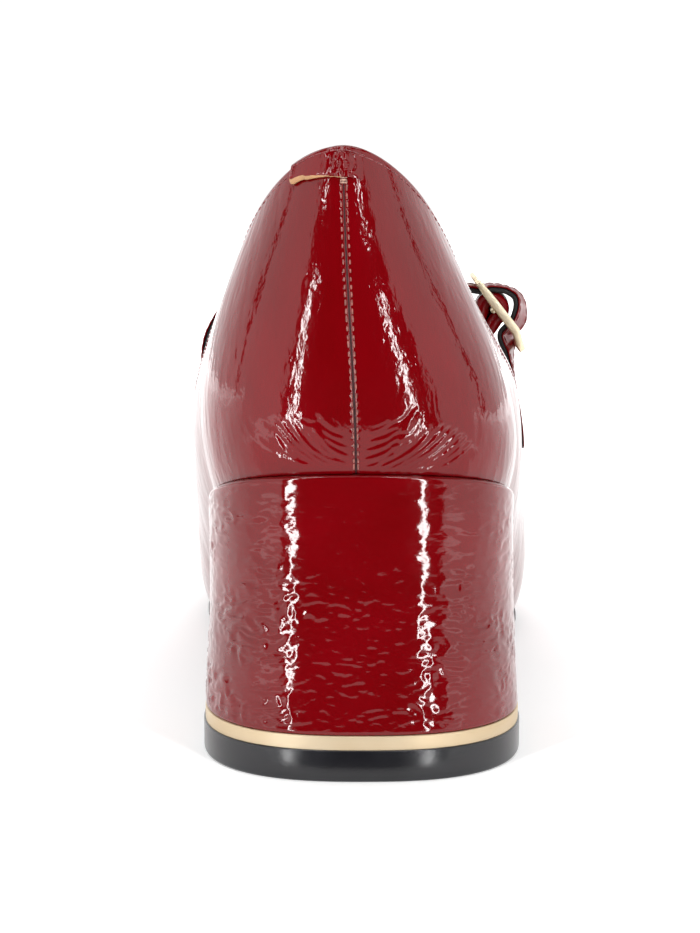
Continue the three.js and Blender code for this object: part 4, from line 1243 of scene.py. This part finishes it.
# Back tab: a small skived patent overlay folded over the top of the back seam, with a raw tan lower
# edge. One row of stitches follows its border, and a bar tack locks the seam under it.

TAB_THICK = 0.8
TAB_HEIGHT = 6
TAB_MEDIAL = 0.031
TAB_LATERAL = 0.016
TAB_END = 0.66
TAB_FULL = 0.6
TAB_ROUND = 0.07
TAB_CORNER = 0.25
TAB_SKIVED = 0.3
TAB_THIN = 0.25
TAB_COLUMNS = 110
TAB_ROWS = 26
TAB_UNDER = 0.6  # its upper edge lies this far under the top line
TAB_SUNK = 0.15  # its lateral end runs this far into the leather
TAB_LENGTH = 25  # along the top line
RAW_EDGE, RAW_TO = 0.7, 0.62  # width of the raw edge at the medial end, and where it ends
TAB_SIDE_IN, TAB_TOP_IN = 0.05, 1.5  # the border stitches: a share from each end, and under the top line
BORDER_FROM = 3.4  # their lower end at the medial side, under the top line
TACK_HALF = 1.1
TACK_UNDER = (6.5, 7.0, 7.5)
TAN_RAW = (0.5, 0.27, 0.13)
TAN_TACK = (0.62, 0.36, 0.27)
SEAM_SHARE = TAB_MEDIAL / (TAB_MEDIAL + TAB_LATERAL)


def tab_edge(share):
    """How far the tab's lower edge lies under the top line, and its thickness."""
    rounding = np.sqrt(np.clip(1 - np.clip(1 - share / TAB_ROUND, 0, 1) ** 2, 0, 1))
    full = TAB_END + (1 - TAB_END) * np.clip(share / TAB_FULL, 0, 1)
    height = TAB_HEIGHT * (full - TAB_CORNER * (1 - rounding))
    skive = np.clip((1 - share) / TAB_SKIVED, 0, 1)
    return height, TAB_THICK * (TAB_THIN + (1 - TAB_THIN) * skive)


def tab_points(share, down, lift):
    """Places on the tab: share runs from its medial end, and down, in mm, from the top line."""
    turn = -TAB_MEDIAL + (TAB_LATERAL + TAB_MEDIAL) * share
    thick = tab_edge(share)[1][:, None]
    rows = np.linspace(0, 1, 300)
    t = np.empty_like(down)
    for i, a in enumerate(turn):
        heights = outside(a, rows)[:, 2]
        t[i] = np.interp(heights[-1] - down[i], heights, rows)
    places = outside(turn[:, None], t)
    out = directions(turn[:, None], t)[2]
    flush = smooth(SEAM_SHARE - 0.08, SEAM_SHARE + 0.34, share)[:, None]
    height = (GAP + lift * thick) * (1 - flush) - TAB_SUNK * flush
    return places + out * height[..., None], out


def tab_rows(share):
    """Depths of the face's rows under the top line; the last step is the raw edge."""
    share = share[:, None]
    lower = tab_edge(share)[0] + (0.35 + 0.15 * noise(share * 25, 0, 44)) * (1 - share)
    raw = RAW_EDGE * smooth(0, 1, 1 - share / RAW_TO) + 0.02
    even = np.linspace(0, 1, TAB_ROWS - 1)[None, :]
    return np.concatenate([TAB_UNDER + (lower - raw - TAB_UNDER) * even, lower], axis=1)


def back_tab():
    """The overlay with its puckers round the bar tack; its lower row of faces is the raw edge."""
    share = np.linspace(0, 1, TAB_COLUMNS)
    down = tab_rows(share)
    wide = (share[:, None] - SEAM_SHARE) * TAB_LENGTH + 0 * down
    pucker = 0.26 * noise(wide / 1.4, down / 1.0, 41) + 0.14 * noise(wide / 0.6, down / 0.7, 42)
    far = np.hypot(wide / 3.4, (down - 3.3) / 2.2)
    ring = -0.32 * np.exp(-(((far - 1) / 0.15) ** 2))
    pucker = (pucker + ring) * np.exp(-((wide / 5) ** 4)) + 0.03 * noise(wide / 2, down / 2, 43)
    rim = np.minimum(np.minimum(down - TAB_UNDER, down[:, -1:] - down), share[:, None] * TAB_LENGTH)
    rounded = 1 - 0.5 * (1 - smooth(0, 0.6, rim))
    top, _ = tab_points(share, down, rounded + pucker)
    under, _ = tab_points(share, down[:, ::-1].copy(), 0 * down)
    points = np.concatenate([top, under], axis=1)
    heights = np.concatenate([down, down[:, ::-1]], axis=1)
    piece = grid_mesh("tab_leather", points, skin_of(wide[:, :1], heights), closed=False)
    piece.data.materials.append(patent("tab_patent"))
    piece.data.materials.append(lining_finish("raw_edge", TAN_RAW))
    rows = TAB_ROWS * 2
    for polygon in piece.data.polygons:
        row = {v % rows for v in polygon.vertices}
        column = polygon.vertices[0] // rows
        on_edge = len(polygon.vertices) == 4 and row <= {TAB_ROWS - 2, TAB_ROWS - 1, TAB_ROWS}
        if on_edge and column < RAW_TO * TAB_COLUMNS:
            polygon.material_index = 1
    return piece


tab_piece = back_tab()
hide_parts("back_tab")
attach(tab_piece, "root")


def tab_border(up=30, over=160):
    """The line of the tab's stitches: up its medial end and along its upper edge."""
    share = np.append(np.full(up, TAB_SIDE_IN), np.linspace(TAB_SIDE_IN, 1 - TAB_SIDE_IN, over))
    down = np.append(np.linspace(BORDER_FROM, TAB_TOP_IN, up), np.full(over, TAB_TOP_IN))
    places, out = tab_points(share, down[:, None], np.ones((up + over, 1)))
    return places[:, 0], out[:, 0]


def tack_row(under):
    """One of the bar tack's thick stitches, straight across the seam."""
    across = np.linspace(-TACK_HALF, TACK_HALF, 12)
    return stitch_rings(*on_upper(across, under=under, lift=0.1), pitch=1.1, radius=0.2)


thread_mesh("tab_stitches", [stitch_rings(*tab_border(), pitch=1.4, radius=0.12)], red_thread)
thread_mesh("bar_tack", [tack_row(under) for under in TACK_UNDER], thread_finish("tan_thread", TAN_TACK))

# Studio: a pale floor and backdrop, a dark room behind the camera, two narrow strip lights, two
# grey-white side flats and a big soft box overhead.

FLOOR_TONE = (0.86, 0.86, 0.86, 1)
ROOM_TONE = (0.03, 0.03, 0.03, 1)
BACKDROP_GLOW = 1.02
FLOOR_GLOW = 0.25  # close to the shoe
GLOW_FROM, GLOW_TO = 0.25, 1.2  # metres from the shoe between which the floor's glow grows
NEAR_FLOOR_EDGE = 0.008
FLOOR_REACH = 3.0
BACKDROP_RADIUS = 2.9


def stage_material(name, tone, glow):
    """A dull tone that also glows evenly."""
    material, shader = finish_of(name, Roughness=0.9, Specular_IOR_Level=0.0)
    shader.inputs["Base Color"].default_value = tone
    shader.inputs["Emission Color"].default_value = (1, 1, 1, 1)
    shader.inputs["Emission Strength"].default_value = glow
    return material, shader


def lit_far_away(material, shader, near_glow, far_glow):
    """Lets the floor glow more far from the shoe, so that it meets the backdrop unseen."""
    place = shoe_place(material)
    distance = node(material, "ShaderNodeVectorMath", {0: place}, operation="LENGTH").outputs["Value"]
    glow = ranged(material, distance, GLOW_FROM, GLOW_TO, near_glow, far_glow)
    joined(material, shader, Emission_Strength=glow)


def floor_part(name, near_y, far_y, material):
    """A level rectangle of floor between two distances."""
    wide = FLOOR_REACH
    corners = [(-wide, near_y, 0), (-wide, far_y, 0), (wide, far_y, 0), (wide, near_y, 0)]
    floor = piece_of(name, corners, [(0, 1, 2, 3)])
    floor.data.materials.append(material)
    return floor


floor_finish, floor_shader = stage_material("pale_floor", FLOOR_TONE, FLOOR_GLOW)
lit_far_away(floor_finish, floor_shader, FLOOR_GLOW, BACKDROP_GLOW)
near_edge = HEEL_BACK * MM + NEAR_FLOOR_EDGE
floor_part("floor", near_edge, -FLOOR_REACH, floor_finish)
front_floor = floor_part("floor_front", FLOOR_REACH, near_edge, floor_finish)
front_floor.visible_glossy = False
front_floor.visible_shadow = False

bpy.ops.mesh.primitive_uv_sphere_add(segments=64, ring_count=32, radius=BACKDROP_RADIUS)
backdrop = bpy.context.object
backdrop.name = "backdrop"
backdrop.data.materials.append(stage_material("pale_backdrop", (0, 0, 0, 1), BACKDROP_GLOW)[0])
backdrop.data.flip_normals()
for ray in ("visible_diffuse", "visible_glossy", "visible_shadow", "visible_transmission"):
    setattr(backdrop, ray, False)


def light_panel(name, place, turned, wide, tall, radiance):
    """An even light panel that isn't seen itself."""
    light = bpy.data.lights.new(name, "AREA")
    light.shape = "RECTANGLE"
    light.size, light.size_y = wide, tall
    light.energy = radiance * math.pi * wide * tall
    lamp = bpy.data.objects.new(name, light)
    lamp.location, lamp.rotation_euler = place, turned
    lamp.visible_camera = False
    bpy.context.scene.collection.objects.link(lamp)


def standing_box(name, azimuth, distance, wide, low, high, radiance):
    """A standing panel. Azimuth 0 is behind the heel, and it grows towards the lateral side."""
    turn = math.radians(azimuth)
    place = (-distance * math.sin(turn), distance * math.cos(turn), (low + high) / 2)
    light_panel(name, place, (math.pi / 2, 0, math.pi + turn), wide, high - low, radiance)


def flat_between(name, first, last, radiance):
    """A standing panel that spans the azimuths from first to last."""
    half = math.radians(abs(last - first) / 2)
    distance, wide = FLAT_DISTANCE * math.cos(half), 2 * FLAT_DISTANCE * math.sin(half)
    standing_box(name, (first + last) / 2, distance, wide, *FLAT_HEIGHTS, radiance)


def level_box(name, near, far, z, wide, radiance, turn):
    """A level panel between two distances behind the heel."""
    place = (0, HEEL_BACK * MM + (near + far) / 2, z)
    light_panel(name, place, (turn, 0, 0), wide, far - near, radiance)


# Lengths in metres, azimuths in degrees, glows as radiance
STRIP_GLOW = 28
STRIP_DISTANCE, STRIP_WIDE = 1.1, 0.05
STRIP_HEIGHTS = {"low": (-0.5, 0.63), "high": (0.9, 3.4)}
STRIP_AZIMUTHS = {"lateral": 32, "medial": -38}
FLAT_DISTANCE = 1.15
FLAT_HEIGHTS = (-0.36, 1.3)
FLAT_GLOW, BACK_GLOW = 1.25, 1.2
FLATS = (
    ("flat_{}_near", 47, 73, FLAT_GLOW),
    ("flat_{}_far", 73, 99, FLAT_GLOW),
    ("back_{}_side", 103, 128, BACK_GLOW),
    ("back_{}_middle", 128, 154, BACK_GLOW),
    ("back_{}_centre", 154, 180, BACK_GLOW),
)
for side_name, azimuth in STRIP_AZIMUTHS.items():
    for part, heights in STRIP_HEIGHTS.items():
        standing_box(f"strip_{side_name}_{part}", azimuth, STRIP_DISTANCE, STRIP_WIDE, *heights, STRIP_GLOW)
for side_name, side in (("lateral", 1), ("medial", -1)):
    for flat_name, first, last, glow in FLATS:
        flat_between(flat_name.format(side_name), side * first, side * last, glow)
level_box("overhead", -0.624, 0.376, z=1.35, wide=1.2, radiance=3.2, turn=0)
level_box("low_card", 0.05, 0.675, z=-0.25, wide=2.0, radiance=1.0, turn=math.pi)

world = bpy.data.worlds.new("room")
world.use_nodes = True
world.node_tree.nodes["Background"].inputs["Color"].default_value = ROOM_TONE
bpy.context.scene.world = world

# Camera: behind the heel at the photo's angle, a little over the top line and pitched down. Its
# place comes from the sizes of the heel and the ball in the photo.

CAMERA_DISTANCE = 420.8  # from the heel's back edge
CAMERA_HEIGHT = 120.5
CAMERA_SIDE = 2.3
CAMERA_PITCH = 8.28
FOCAL_PIXELS = 2338
PICTURE_HEIGHT = 933
SENSOR = 36

camera_data = bpy.data.cameras.new("camera")
camera_data.sensor_width = SENSOR
camera_data.sensor_fit = "AUTO"
camera_data.lens = FOCAL_PIXELS / PICTURE_HEIGHT * SENSOR
camera_data.clip_start = 0.02
camera = bpy.data.objects.new("camera", camera_data)
camera.location = (CAMERA_SIDE * MM, (HEEL_BACK + CAMERA_DISTANCE) * MM, CAMERA_HEIGHT * MM)
camera.rotation_euler = (math.radians(90 - CAMERA_PITCH), 0, math.pi)
bpy.context.scene.collection.objects.link(camera)
bpy.context.scene.camera = camera
bpy.context.scene.view_settings.view_transform = "Standard"
